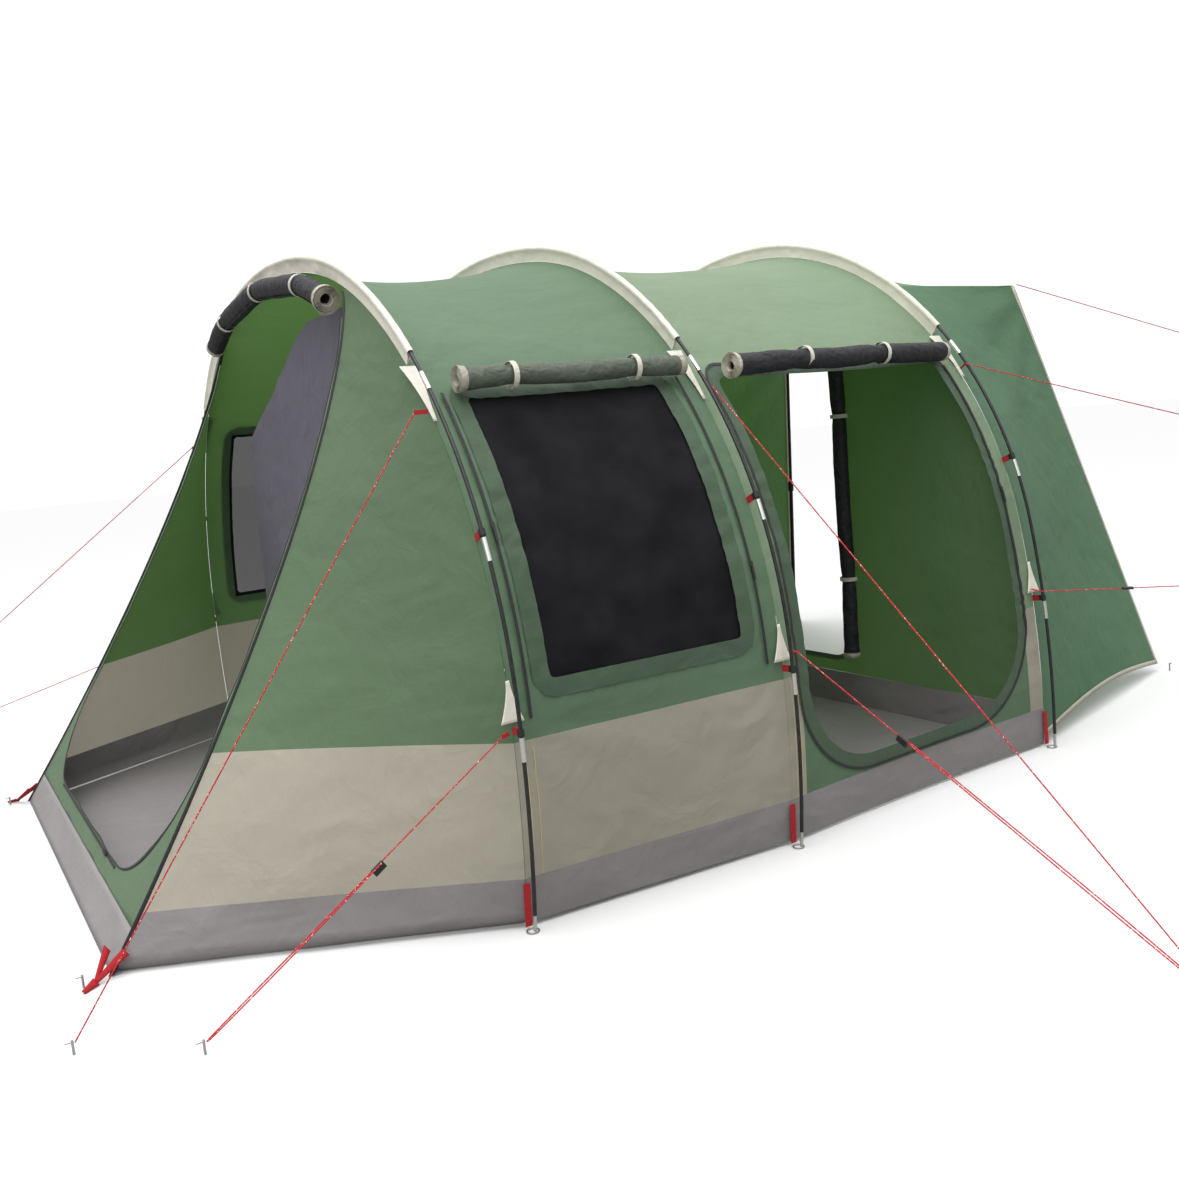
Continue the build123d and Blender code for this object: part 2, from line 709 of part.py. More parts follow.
# ---------------------------------------------------------------- canopy
def canopy_edge(z):
    """Rear edge of the near wing, from the corner up to the top of the pole."""
    f = (z - CANOPY_CORNER[2]) / (CANOPY_TOP[2] - CANOPY_CORNER[2])
    return tuple(-c if k else c for k, c in enumerate(
        CANOPY_CORNER[k] + f * (CANOPY_TOP[k] - CANOPY_CORNER[k]) for k in (0, 1)))


def wing(z):
    return wall_quad((REAR.x + 1.6, REAR.near_y(z, INSET)), canopy_edge(z), CLOTH)


def wing_trim(z):
    """Beige binding just behind the free edge of the wing."""
    x, y = canopy_edge(z)
    return [(x + 0.5, y - 2), (x + 0.5, y + 4), (x + 26, y + 4), (x + 26, y - 2)]


with BuildPart() as wings:
    level_loft(seam_levels(WING_LOW, CANOPY_TOP[2] - 12, 10), wing)
    mirror(about=Plane.XZ)
save(wings.part, "canopy_wings")

with BuildPart() as trims:
    level_loft(seam_levels(WING_LOW, CANOPY_TOP[2] - 12, 2), wing_trim)
    mirror(about=Plane.XZ)
save(trims.part, "canopy_edge_trim")

with BuildPart() as canopy_roof:
    start = REAR.station(CANOPY_TOP[2] + 2, INSET)
    crown = [start + (REAR.length - 2 * start) * k / 12 for k in range(13)]
    with BuildSketch(Plane.YZ.offset(REAR.x + 1.6)) as front_band:
        with BuildLine():
            for inset in (INSET, INSET + CLOTH):
                Spline(*[REAR.flat(s, inset) for s in crown])
            for s in (crown[0], crown[-1]):
                Line(REAR.flat(s, INSET), REAR.flat(s, INSET + CLOTH))
        make_face()
    with BuildSketch(Plane.YZ.offset(CANOPY_TOP[0])) as rear_band:
        with BuildLine():
            for drop in (0, CLOTH):
                half, z = CANOPY_TOP[1], CANOPY_TOP[2] - drop
                ThreePointArc((-half, z), (0, z + CANOPY_RISE), (half, z))
            for half in (-CANOPY_TOP[1], CANOPY_TOP[1]):
                Line((half, CANOPY_TOP[2]), (half, CANOPY_TOP[2] - CLOTH))
        make_face()
    loft([front_band.sketch, rear_band.sketch])
save(canopy_roof.part, "canopy_roof")

def canopy_pole(side):
    """Foot, top and direction of one canopy pole."""
    foot = Vector(CANOPY_FOOT[0], side * CANOPY_FOOT[1], 0)
    top = Vector(CANOPY_TOP[0] - 16, side * (CANOPY_TOP[1] - 18), CANOPY_TOP[2] - 16)
    return foot, top, (top - foot).normalized()


for side, tag in ((-1, "near"), (1, "far")):
    foot, top, along = canopy_pole(side)
    with BuildPart() as lower:
        round_bar(foot + along * 12, foot + along * CANOPY_SPLIT, LOWER_TUBE_R, LOWER_TUBE_BORE)
    save(lower.part, f"canopy_pole_lower_{tag}")
    with BuildPart() as upper:
        round_bar(foot + along * (CANOPY_SPLIT - POLE_OVERLAP), top, UPPER_TUBE_R, UPPER_TUBE_BORE)
    save(upper.part, f"canopy_pole_upper_{tag}")

with BuildPart() as canopy_feet:
    for side in (-1, 1):
        with Locations((CANOPY_FOOT[0], side * CANOPY_FOOT[1], 5.5)):
            Cylinder(13, 11)
save(canopy_feet.part, "canopy_pole_feet")

with BuildPart() as canopy_clamps:
    for side in (-1, 1):
        foot, top, along = canopy_pole(side)
        round_bar(foot + along * (CANOPY_SPLIT - 52), foot + along * (CANOPY_SPLIT - 2), 14.5, LOWER_TUBE_R + 0.1)
save(canopy_clamps.part, "canopy_pole_clamps")


# ---------------------------------------------------------------- guylines
def line_points(key):
    """Start at the tab's tip and the far end of a guyline."""
    root, start, end = GUYS[key]
    return Vector(*start), Vector(*end)


def guyline(key):
    start, end = line_points(key)
    along = (end - start).normalized()
    round_bar(start + along * LINE_GAP, end - along * LINE_GAP, LINE_R)


with BuildPart() as upper_lines:
    for key in ("front_upper", "middle_upper", "rear_upper"):
        guyline(key)
save(upper_lines.part, "guylines_upper")

with BuildPart() as lower_lines:
    for key in ("front_lower", "middle_lower", "rear_lower"):
        guyline(key)
save(lower_lines.part, "guylines_lower")

with BuildPart() as far_lines:
    for key in ("far_upper", "far_lower"):
        guyline(key)
save(far_lines.part, "guylines_far")

with BuildPart() as canopy_line:
    guyline("canopy")
save(canopy_line.part, "guyline_canopy")

with BuildPart() as tabs:
    for key in [k for k in GUYS if k != "canopy"]:
        root, start, end = GUYS[key]
        reach = Vector(*start) - Vector(*root)
        flat_bar(root, start, 12, 1.5, (0, 0, 1) if abs(reach.X) > 1 else (1, 0, 0))
save(tabs.part, "guyline_tabs")

with BuildPart() as pegs:
    for key in PEGGED:
        start, end = line_points(key)
        lean = Vector(end.X - start.X, end.Y - start.Y, 0).normalized()
        base = Vector(end.X, end.Y, 0) + lean * 5.4
        round_bar(base + Vector(0, 0, 0.5), base + Vector(0, 0, 34), 3)
        round_bar(base + Vector(0, 0, 30), base + lean * 16 + Vector(0, 0, 30), 2.4)
    for x, y in CORNER_PEGS:
        round_bar((x, y, 0.5), (x, y, 34), 3)
        round_bar((x, y, 30), (x + (16 if x > 0 else -16), y, 30), 2.4)
save(pegs.part, "ground_pegs")

for key, tag in (("front_lower", "front"), ("middle_lower", "middle"), ("rear_lower", "rear")):
    start, end = line_points(key)
    along = (end - start).normalized()
    with BuildPart() as runner:
        at = start + along * RUNNER_AT[key]
        with BuildSketch(Plane(origin=at - along * 17, z_dir=along)) as body:
            SlotOverall(22, 9)
            Circle(LINE_R + 0.4, mode=Mode.SUBTRACT)
        extrude(body.sketch, amount=34)
    save(runner.part, f"guyline_runner_{tag}")

# ---------------------------------------------------------------- zip sliders
for tag, x, z in (("window_front", WINDOW_ZIPS[0], 1050.0), ("window_rear", WINDOW_ZIPS[1], 847.0),
                  ("side_door", SIDE_ZIP_X, 930.0)):
    arch = wall_at(x)
    s = arch.station(z, INSET)
    with BuildPart() as slider:
        frame = arch.plane(s)
        out = -frame.x_dir
        centre = arch.at(s, ZIP_INSET) + out * 3
        with BuildSketch(Plane(origin=centre, x_dir=(1, 0, 0), z_dir=out)) as body:
            RectangleRounded(11, 16, 3)
        extrude(body.sketch, amount=1.8, both=True)
        with BuildSketch(Plane(origin=centre + out * 2.6, x_dir=(1, 0, 0), z_dir=out)) as pull:
            with Locations((0, PULL_SIGN * 26)):
                RectangleRounded(7, 44, 3)
        extrude(pull.sketch, amount=0.9, both=True)
    save(slider.part, f"zip_slider_{tag}")

with BuildPart() as front_slider:
    middle, up, out = front_face(FRONT_SILL - 7)
    middle += out * 4.9 + Vector(0, FRONT_SLIDER_Y, 0)
    with BuildSketch(Plane(origin=middle, x_dir=(0, 1, 0), z_dir=out)) as body:
        RectangleRounded(16, 11, 3)
    extrude(body.sketch, amount=1.8, both=True)
    with BuildSketch(Plane(origin=middle + out * 2.4, x_dir=(0, 1, 0), z_dir=out)) as pull:
        with Locations((26, 0)):
            RectangleRounded(44, 7, 3)
    extrude(pull.sketch, amount=0.9, both=True)
save(front_slider.part, "zip_slider_front_door")
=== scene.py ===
"""Look of the tunnel tent: cloth, rolls, cords, fittings and a plain studio.

Metres. +X runs from the porch to the canopy, the near side is -Y, +Z is up.
"""

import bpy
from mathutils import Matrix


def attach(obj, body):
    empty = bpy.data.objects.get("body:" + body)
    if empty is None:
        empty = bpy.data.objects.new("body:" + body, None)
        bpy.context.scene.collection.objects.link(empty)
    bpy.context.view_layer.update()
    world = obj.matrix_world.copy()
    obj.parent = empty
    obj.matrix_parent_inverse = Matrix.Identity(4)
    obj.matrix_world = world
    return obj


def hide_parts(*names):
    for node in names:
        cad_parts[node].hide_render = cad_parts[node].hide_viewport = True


bl_info = {
    "name": "Tunnel tent",
    "version": (1, 0, 0),
    "blender": (4, 5, 0),
    "location": "View3D > Sidebar > Tent",
    "description": "Cloth, cords and fittings of a three-hoop tunnel tent",
    "category": "Object",
}

from functools import lru_cache
from math import atan2, cos, degrees, exp, hypot, pi, radians, sin

import bmesh
import bpy
from mathutils import Matrix, Vector, noise

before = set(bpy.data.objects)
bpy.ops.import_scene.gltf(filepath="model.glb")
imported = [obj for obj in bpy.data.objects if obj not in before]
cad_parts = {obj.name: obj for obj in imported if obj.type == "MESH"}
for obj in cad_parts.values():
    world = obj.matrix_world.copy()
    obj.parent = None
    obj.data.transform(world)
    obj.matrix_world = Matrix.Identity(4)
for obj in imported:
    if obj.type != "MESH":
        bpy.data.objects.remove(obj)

# ---- Hoops ----
POLE_GROUND = 0.006
LEG_TURN = 11.9
SHOULDER_TURN = 74.5
INSET = 0.044
SLEEVE_START = 1.625
TUB_TOP = 0.139
BAND_TOP = 0.505
SHEET_TOP = 0.003


class Hoop:
    """An arch in the plane x = const, measured along the pole from its near foot."""

    def __init__(self, x, lean, radii):
        self.x = x
        self.lean = lean
        self.radii = radii
        self.turns = (LEG_TURN, SHOULDER_TURN, 90 - lean - LEG_TURN - SHOULDER_TURN)
        self.lengths = [r * radians(t) for r, t in zip(radii, self.turns)]
        self.half = sum(self.lengths)
        self.length = 2 * self.half
        self.half_width = 0.0
        self.half_width = self.near(self.half, 0)[0]

    def near(self, s, inset):
        y, z, turn = -self.half_width, POLE_GROUND, self.lean
        left = max(s, 0)
        for radius, most in zip(self.radii, self.turns):
            after = turn + min(most, degrees(max(left, 0) / radius))
            y += radius * (cos(radians(turn)) - cos(radians(after)))
            z += radius * (sin(radians(after)) - sin(radians(turn)))
            turn = after
            left -= radius * radians(most)
        return y + inset * cos(radians(turn)), z - inset * sin(radians(turn)), turn

    def at(self, s, inset=0.0):
        y, z, turn = self.near(min(s, self.length - s), inset)
        return Vector((self.x, y if s <= self.half else -y, z))

    def inward(self, s):
        turn = radians(self.near(min(s, self.length - s), 0)[2])
        return Vector((0, cos(turn) if s <= self.half else -cos(turn), -sin(turn)))

    def station(self, z, inset=INSET):
        low, high = 0.0, self.half
        for _ in range(26):
            middle = (low + high) / 2
            if self.near(middle, inset)[1] < z:
                low = middle
            else:
                high = middle
        return low

    def near_y(self, z, inset=INSET):
        return self.near(self.station(z, inset), inset)[0]


FRONT = Hoop(-0.868, -9.1, (2.864, 1.377, 2.199))
MIDDLE = Hoop(0.0, -6.8, (2.979, 1.454, 2.232))
REAR = Hoop(1.265, -1.2, (3.885, 1.442, 1.852))
HOOPS = (FRONT, MIDDLE, REAR)
SIDES = ((-1, "near"), (1, "far"))
SEAM_GAP = 0.0004    # the cloth stops this far short of a hoop's plane


@lru_cache(maxsize=4000)
def wall_at(x):
    """The arch that the cloth takes at any x between the front and rear hoops."""
    a, b = (FRONT, MIDDLE) if x < 0 else (MIDDLE, REAR)
    f = (x - a.x) / (b.x - a.x)
    radii = tuple(ra + f * (rb - ra) for ra, rb in zip(a.radii, b.radii))
    return Hoop(x, a.lean + f * (b.lean - a.lean), radii)


@lru_cache(maxsize=200000)
def side_station(x, z):
    return wall_at(x).station(z)


def smooth(a, b, value):
    """0 below a, 1 above b, with an even curve between."""
    t = min(max((value - a) / (b - a), 0.0), 1.0)
    return t * t * (3 - 2 * t)


def on_side(side, x, y, z):
    """A point given for the near side, on the near (-1) or far (1) side."""
    return Vector((x, -side * y, z))


def ripple(x, y, z=0.0):
    """Soft irregular wave between about -1 and 1."""
    return noise.noise(Vector((x, y, z)))


# ---- Settings ----
def tint(name, description, colour):
    """A colour that the user can change."""
    return bpy.props.FloatVectorProperty(name=name, description=description, subtype="COLOR", size=3,
                                         min=0, max=1, default=colour)


def length(name, description, metres, most):
    """A length that the user can change."""
    return bpy.props.FloatProperty(name=name, description=description, default=metres, min=0.0005, max=most,
                                   unit="LENGTH")


class TentColours(bpy.types.PropertyGroup):
    roof: tint("Front roof", "Cloth between the first two hoops", (0.125, 0.205, 0.125))
    rear: tint("Rear roof", "Cloth between the last two hoops", (0.225, 0.315, 0.200))
    porch: tint("Porch", "Cloth of the porch and canopy sides", (0.125, 0.195, 0.112))
    beige: tint("Beige", "Lower band, patches and bindings", (0.470, 0.440, 0.360))
    skirt: tint("Skirt", "Grey ground skirt", (0.255, 0.238, 0.240))
    sleeve: tint("Sleeve", "Pole sleeves", (0.860, 0.820, 0.720))
    roll: tint("Door lining", "Dark inner face of the rolled doors", (0.018, 0.018, 0.022))
    inner: tint("Inner tent", "Inner tent and window mesh", (0.120, 0.112, 0.145))
    wing: tint("Wing", "Sides of the rear canopy", (0.078, 0.180, 0.098))
    net: tint("Window mesh", "Netting of the windows", (0.012, 0.012, 0.014))
    glow: tint("Lit cloth", "Daylight seen through the green cloth", (0.200, 0.450, 0.090))
    cover: tint("Window cover", "Dark outer face of the rolled covers", (0.095, 0.115, 0.085))
    stitch: tint("Seam tape", "Thin seams beside the hoops", (0.640, 0.520, 0.260))
    red: tint("Red", "Webbing and guylines", (0.560, 0.010, 0.018))
    black: tint("Black", "Poles, zips and plastic fittings", (0.014, 0.014, 0.016))


class TentSizes(bpy.types.PropertyGroup):
    sag: length("Roof sag", "Depth of the roof between hoops", 0.048, 0.08)
    crease: length("Crease depth", "Height of the tension creases", 0.0062, 0.02)
    cord: length("Guyline", "Diameter of the guylines", 0.0036, 0.01)
    cell: length("Mesh size", "Side of a face on the cloth", 0.022, 0.1)


def colours():
    """The tent's colours, as the user has set them."""
    return bpy.context.scene.tent_colours


def sizes():
    """The tent's sizes, as the user has set them."""
    return bpy.context.scene.tent_sizes


# ---- Shaders ----
class Num:
    """A number in a node tree that takes part in ordinary arithmetic."""

    def __init__(self, shade, socket):
        self.shade = shade
        self.socket = socket

    def _math(self, operation, *values, clamp=False):
        node = self.shade.tree.nodes.new("ShaderNodeMath")
        node.operation = operation
        node.use_clamp = clamp
        for k, value in enumerate(values):
            self.shade.feed(node.inputs[k], value)
        return Num(self.shade, node.outputs[0])

    def __add__(self, other):
        return self._math("ADD", self, other)

    def __sub__(self, other):
        return self._math("SUBTRACT", self, other)

    def __rsub__(self, other):
        return self._math("SUBTRACT", other, self)

    def __mul__(self, other):
        return self._math("MULTIPLY", self, other)

    def __truediv__(self, other):
        return self._math("DIVIDE", self, other)

    __radd__ = __add__
    __rmul__ = __mul__

    def sine(self):
        return self._math("SINE", self)

    def size(self):
        return self._math("ABSOLUTE", self)

    def over(self, low, high):
        """0 below low, 1 above high."""
        return self._math("DIVIDE", self - low, high - low, clamp=True)


class Shade:
    """A material being built."""

    def __init__(self, name):
        self.material = bpy.data.materials.new(name)
        self.material.use_nodes = True
        self.tree = self.material.node_tree
        self.tree.nodes.clear()
        self.out = self.tree.nodes.new("ShaderNodeOutputMaterial")
        self.point = self.node("ShaderNodeTexCoord").outputs["Object"]

    def feed(self, socket, value):
        if isinstance(value, Num):
            value = value.socket
        if isinstance(value, bpy.types.NodeSocket):
            self.tree.links.new(value, socket)
        else:
            socket.default_value = value

    def node(self, kind, inputs=None, **settings):
        made = self.tree.nodes.new(kind)
        for key, value in settings.items():
            setattr(made, key, value)
        for key, value in (inputs or {}).items():
            self.feed(made.inputs[key], value)
        return made

    def axes(self, vector=None):
        split = self.node("ShaderNodeSeparateXYZ", {0: vector or self.point})
        return [Num(self, split.outputs[k]) for k in range(3)]

    def uv(self):
        return self.axes(self.node("ShaderNodeUVMap", uv_map="cloth").outputs[0])

    def stretched(self, x, y, z):
        scaled = self.node("ShaderNodeVectorMath", {0: self.point, 1: (x, y, z)}, operation="MULTIPLY")
        return scaled.outputs[0]

    def noise(self, scale, detail=3.0, vector=None, distortion=0.0):
        made = self.node("ShaderNodeTexNoise", {"Vector": vector or self.point, "Scale": scale,
                                                "Detail": detail, "Distortion": distortion})
        return Num(self, made.outputs["Fac"])

    def mix(self, share, a, b):
        made = self.node("ShaderNodeMix", data_type="RGBA")
        self.feed(made.inputs[0], share)
        self.feed(made.inputs[6], a)
        self.feed(made.inputs[7], b)
        return made.outputs[2]

    def two_tone(self, mask, colour, low, high):
        """One colour in two strengths, chosen by the mask."""
        return self.mix(mask, rgba(colour, low), rgba(colour, high))

    def bump(self, height, distance):
        return self.node("ShaderNodeBump", {"Height": height, "Distance": distance}).outputs[0]

    def surface(self, **inputs):
        names = {key: key.replace("_", " ") for key in inputs}
        made = self.node("ShaderNodeBsdfPrincipled")
        for key, value in inputs.items():
            self.feed(made.inputs[names[key]], value)
        self.last = made.outputs[0]
        self.feed(self.out.inputs[0], self.last)
        return made

    def translucent(self, colour, share):
        glow = self.node("ShaderNodeBsdfTranslucent")
        self.feed(glow.inputs["Color"], colour)
        both = self.node("ShaderNodeMixShader", {0: share, 1: self.last, 2: glow.outputs[0]})
        self.feed(self.out.inputs[0], both.outputs[0])


def rgba(colour, gain=1.0):
    return tuple(min(c * gain, 1.0) for c in colour) + (1.0,)


@lru_cache(maxsize=None)
def cloth(name, gain=1.0, through=0.16, crumple=1.0, rough=0.62):
    """Coated tent cloth in one of the tent's colours."""
    colour = getattr(colours(), name)
    shade = Shade(f"cloth_{name}_{round(gain * 100)}_{round(through * 100)}")
    fold = shade.noise(7.0, 4.0, distortion=0.6)
    fine = shade.noise(38.0, 3.0, shade.stretched(1.0, 1.0, 0.35))
    weave = shade.noise(620.0, 1.0)
    patchy = shade.noise(2.3, 2.0).over(0.25, 0.75)
    base = shade.two_tone(patchy, colour, gain * 0.93, gain * 1.06)
    pull = shade.noise(2.6, 2.0, shade.stretched(1.0, 1.0, 1.8), distortion=0.5)
    height = fold * 0.50 + pull * 0.9 + fine * 0.13 + weave * 0.012
    shade.surface(Base_Color=base, Roughness=rough + fold * 0.08 - 0.04, Sheen_Weight=0.06,
                  Normal=shade.bump(height, 0.020 * crumple), Specular_IOR_Level=0.32)
    if through:
        green = colour[1] > colour[0] * 1.2
        shade.translucent(rgba(colours().glow if green else colour), through)
    return shade.material


# Rolled cloth: material, colour, its two strengths in the fold hollows and on the crests (painted shade and
# painted highlight), where the hem starts, hem strength, roughness, shine
LINING = "lining_beige", "roll", (0.8, 1.7), (0.484, 0.485), 1.1, 0.55, 0.35
COVER = "cover_cover", "cover", (0.8, 1.15), (0.470, 0.472), 0.85, 0.60, 0.50


@lru_cache(maxsize=None)
def rolled_cloth(name, colour, fold_shade_gains, hem, hem_strength, rough, shine):
    """Cloth of a rolled door or window cover, bound in beige along its two side edges."""
    shade = Shade(name)
    edge = (shade.uv()[0] - 0.5).size().over(*hem)
    fold = shade.noise(26.0, 4.0, distortion=0.8)
    # The colour follows the fold bump: painted shade in the fold hollows, painted highlight on the crests.
    face = shade.two_tone(fold.over(0.3, 0.7), getattr(colours(), colour), *fold_shade_gains)
    base = shade.mix(edge, face, rgba(colours().beige, hem_strength))
    shade.surface(Base_Color=base, Roughness=rough + fold * 0.1, Normal=shade.bump(fold, 0.012),
                  Specular_IOR_Level=shine)
    return shade.material


@lru_cache(maxsize=None)
def netting():
    """Fine dark netting that lets a little through; its near-opaque dark is partly the real black mesh,
    partly painted shade of the dark inside, and painted shade and highlight follow its folds.
    """
    shade = Shade("netting")
    x, _, z = shade.axes()
    grid = ((x * 2100.0).sine() * (z * 2100.0).sine()).over(-0.6, 0.8)
    fold = shade.noise(9.0, 3.0)
    # The colour follows the fold bump: painted shade in the fold hollows, painted highlight on the crests.
    base = shade.two_tone(fold.over(0.3, 0.7), colours().net, 0.7, 1.5)
    # Nearly opaque and near-black: partly the real black mesh, partly painted shade of the dark inside seen
    # through the window.
    shade.surface(Base_Color=base, Roughness=0.85 + fold * 0.05, Specular_IOR_Level=0.1,
                  Alpha=0.86 + grid * 0.1, Normal=shade.bump(fold, 0.01))
    return shade.material


@lru_cache(maxsize=None)
def webbing(name):
    """Narrow woven tape."""
    shade = Shade(f"webbing_{name}")
    _, y, z = shade.axes()
    ribs = (z * 2600.0).sine() * (y * 2600.0).sine()
    base = shade.two_tone(ribs.over(-1.0, 1.0), getattr(colours(), name), 0.75, 1.1)
    shade.surface(Base_Color=base, Roughness=0.7 + ribs * 0.04, Normal=shade.bump(ribs, 0.0006))
    return shade.material


@lru_cache(maxsize=None)
def rope():
    """Braided cord with pale flecks."""
    shade = Shade("rope")
    spots = shade.noise(260.0, 1.0)
    twist = shade.noise(900.0, 1.0)
    base = shade.mix(spots.over(0.64, 0.66), rgba(colours().red, 1.0), (0.75, 0.72, 0.68, 1.0))
    shade.surface(Base_Color=base, Roughness=0.65 + twist * 0.1, Normal=shade.bump(twist, 0.0008))
    return shade.material


@lru_cache(maxsize=None)
def pole_finish():
    """Black wrapped fibreglass."""
    shade = Shade("pole_finish")
    streak = shade.noise(60.0, 2.0)
    base = shade.two_tone(streak.over(0.35, 0.7), colours().black, 0.8, 1.7)
    shade.surface(Base_Color=base, Roughness=0.30 + streak * 0.12)
    return shade.material


@lru_cache(maxsize=None)
def metal(name, colour, rough):
    """Bare metal with a fine grain."""
    shade = Shade(name)
    grain = shade.noise(140.0, 2.0)
    base = shade.two_tone(grain, colour, 0.9, 1.05)
    shade.surface(Base_Color=base, Metallic=1.0, Roughness=rough + grain * 0.12)
    return shade.material


@lru_cache(maxsize=None)
def plastic(name="black", gain=1.0, rough=0.42):
    """Moulded plastic in one of the tent's colours."""
    shade = Shade(f"plastic_{name}_{round(gain * 100)}")
    grain = shade.noise(220.0, 2.0)
    shade.surface(Base_Color=rgba(getattr(colours(), name), gain), Roughness=rough + grain * 0.1)
    return shade.material


@lru_cache(maxsize=None)
def zip_tape():
    """Black tape with a row of moulded teeth."""
    shade = Shade("zip_tape")
    teeth = (shade.axes()[2] * 1900.0).sine().over(-0.3, 0.5)
    base = shade.two_tone(teeth, colours().black, 0.6, 2.4)
    shade.surface(Base_Color=base, Roughness=0.45 + teeth * 0.1, Normal=shade.bump(teeth, 0.0008))
    return shade.material


# ---- Building ----
def finish_piece(bm, name, material, thick=0.0):
    """Turns a bmesh into a smooth object that rides on the tent."""
    bmesh.ops.recalc_face_normals(bm, faces=bm.faces)
    mesh = bpy.data.meshes.new(name)
    bm.to_mesh(mesh)
    bm.free()
    mesh.polygons.foreach_set("use_smooth", [True] * len(mesh.polygons))
    mesh.materials.append(material)
    made = bpy.data.objects.new(name, mesh)
    bpy.context.scene.collection.objects.link(made)
    if thick:
        skin = made.modifiers.new("thickness", "SOLIDIFY")
        skin.thickness = thick
        skin.offset = 0
    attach(made, "tent")
    return made


def lay_grid(name, material, across, along, place, weld=False, cut=None, thick=0.0):
    """A grid whose unit square is carried to its shape by place(u, v); cut(bm, where) may open it."""
    bm = bmesh.new()
    layer = bm.loops.layers.uv.new("cloth")
    bmesh.ops.create_grid(bm, x_segments=max(across, 1), y_segments=max(along, 1), size=0.5)
    where = {}
    for v in bm.verts:
        where[v] = (v.co.x + 0.5, v.co.y + 0.5)
    for face in bm.faces:
        for loop in face.loops:
            loop[layer].uv = where[loop.vert]
    if cut:
        cut(bm, where)
    for v in bm.verts:
        v.co = place(*where[v])
    if weld:
        bmesh.ops.remove_doubles(bm, verts=bm.verts, dist=1e-5)
    return finish_piece(bm, name, material, thick)


def count(length, cell=None):
    """Number of faces along a length."""
    return max(int(round(length / (cell or sizes().cell))), 1)


class Opening:
    """A rounded rectangle in a wall, in x (or y) and z, with a radius at each corner."""

    def __init__(self, a, z, radii, side=-1):
        self.a, self.z, self.radii, self.side = a, z, radii, side

    def corner(self, p, q):
        """Centre and radius of the corner that the point belongs to, or None."""
        left, low = p < sum(self.a) / 2, q < sum(self.z) / 2
        r = self.radii[(0 if left else 1) + (0 if low else 2)]
        c = (self.a[0] + r if left else self.a[1] - r, self.z[0] + r if low else self.z[1] - r)
        beyond = (p < c[0] if left else p > c[0]) and (q < c[1] if low else q > c[1])
        return (c, r) if beyond else None

    def inside(self, p, q):
        if not (self.a[0] < p < self.a[1] and self.z[0] < q < self.z[1]):
            return False
        found = self.corner(p, q)
        return not found or hypot(p - found[0][0], q - found[0][1]) < found[1]

    def snap(self, p, q):
        """The nearest point of the outline."""
        p0, q0 = min(max(p, self.a[0]), self.a[1]), min(max(q, self.z[0]), self.z[1])
        found = self.corner(p0, q0)
        if found:
            (cp, cq), r = found
            far = hypot(p0 - cp, q0 - cq) or 1e-6
            return cp + (p0 - cp) * r / far, cq + (q0 - cq) * r / far
        gaps = [abs(p - self.a[0]), abs(p - self.a[1]), abs(q - self.z[0]), abs(q - self.z[1])]
        side = gaps.index(min(gaps))
        return ((self.a[0], q0), (self.a[1], q0), (p0, self.z[0]), (p0, self.z[1]))[side]

    def outline(self, t):
        """Point and outward direction at a share t of the way round."""
        (a0, a1), (z0, z1) = self.a, self.z
        bl, br, tl, tr = self.radii
        runs = [((a0 + bl, z0), (a1 - br, z0)), ((a1 - br, z0 + br), br, -90), ((a1, z0 + br), (a1, z1 - tr)),
                ((a1 - tr, z1 - tr), tr, 0), ((a1 - tr, z1), (a0 + tl, z1)), ((a0 + tl, z1 - tl), tl, 90),
                ((a0, z1 - tl), (a0, z0 + bl)), ((a0 + bl, z0 + bl), bl, 180)]
        lengths = [hypot(run[1][0] - run[0][0], run[1][1] - run[0][1]) if len(run) == 2 else run[1] * pi / 2
                   for run in runs]
        left = (t % 1.0) * sum(lengths)
        for run, size in zip(runs, lengths):
            if left <= size:
                break
            left -= size
        f = left / max(size, 1e-9)
        if len(run) == 2:
            (p0, q0), (p1, q1) = run
            long = max(size, 1e-9)
            return (p0 + f * (p1 - p0), q0 + f * (q1 - q0)), ((q1 - q0) / long, -(p1 - p0) / long)
        (cp, cq), r, start = run
        turn = radians(start + 90 * f)
        return (cp + r * cos(turn), cq + r * sin(turn)), (cos(turn), sin(turn))

    def length(self):
        (a0, a1), (z0, z1) = self.a, self.z
        return 2 * (a1 - a0 + z1 - z0) - (2 - pi / 2) * sum(self.radii)

    def area(self):
        (a0, a1), (z0, z1) = self.a, self.z
        return (a1 - a0) * (z1 - z0) - (1 - pi / 4) * sum(r * r for r in self.radii)


def punch(openings, to_wall, from_wall):
    """Cuts openings in a grid: to_wall(u, v) gives (p, z, side) and from_wall turns it back."""

    def cut(bm, where):
        for hole in openings:
            gone = []
            for face in bm.faces:
                u = sum(where[v][0] for v in face.verts) / len(face.verts)
                w = sum(where[v][1] for v in face.verts) / len(face.verts)
                p, z, side = to_wall(u, w)
                if side == hole.side and hole.inside(p, z):
                    gone.append(face)
            rim = {v for face in gone for v in face.verts}
            bmesh.ops.delete(bm, geom=gone, context="FACES")
            for v in rim:
                if v.is_valid:
                    p, z, side = to_wall(*where[v])
                    where[v] = from_wall(*hole.snap(p, z), side)
    return cut


WINDOW = (-0.750, -0.127), (0.645, 1.392)
WINDOW_ROUND = (0.02,) * 4
SIDE_DOOR = Opening((0.100, 1.165), (0.190, 1.400), (0.28, 0.30, 0.04, 0.04))
SIDE_PANEL = 0.070, 1.195
WINDOWS = [Opening(*WINDOW, WINDOW_ROUND, side) for side in (-1, 1)]
PULL_STATIONS = 1.6, 0.536, 1.049    # where the sleeve's end and the clips pull on the cloth
PULLS = [(hoop.x, s) for hoop in HOOPS for near in PULL_STATIONS for s in (near, hoop.length - near)]


CREASE_FADE = 0.22    # a crease dies away over this length
CREASE_REACH = 0.75
CREASE_RAYS = 13


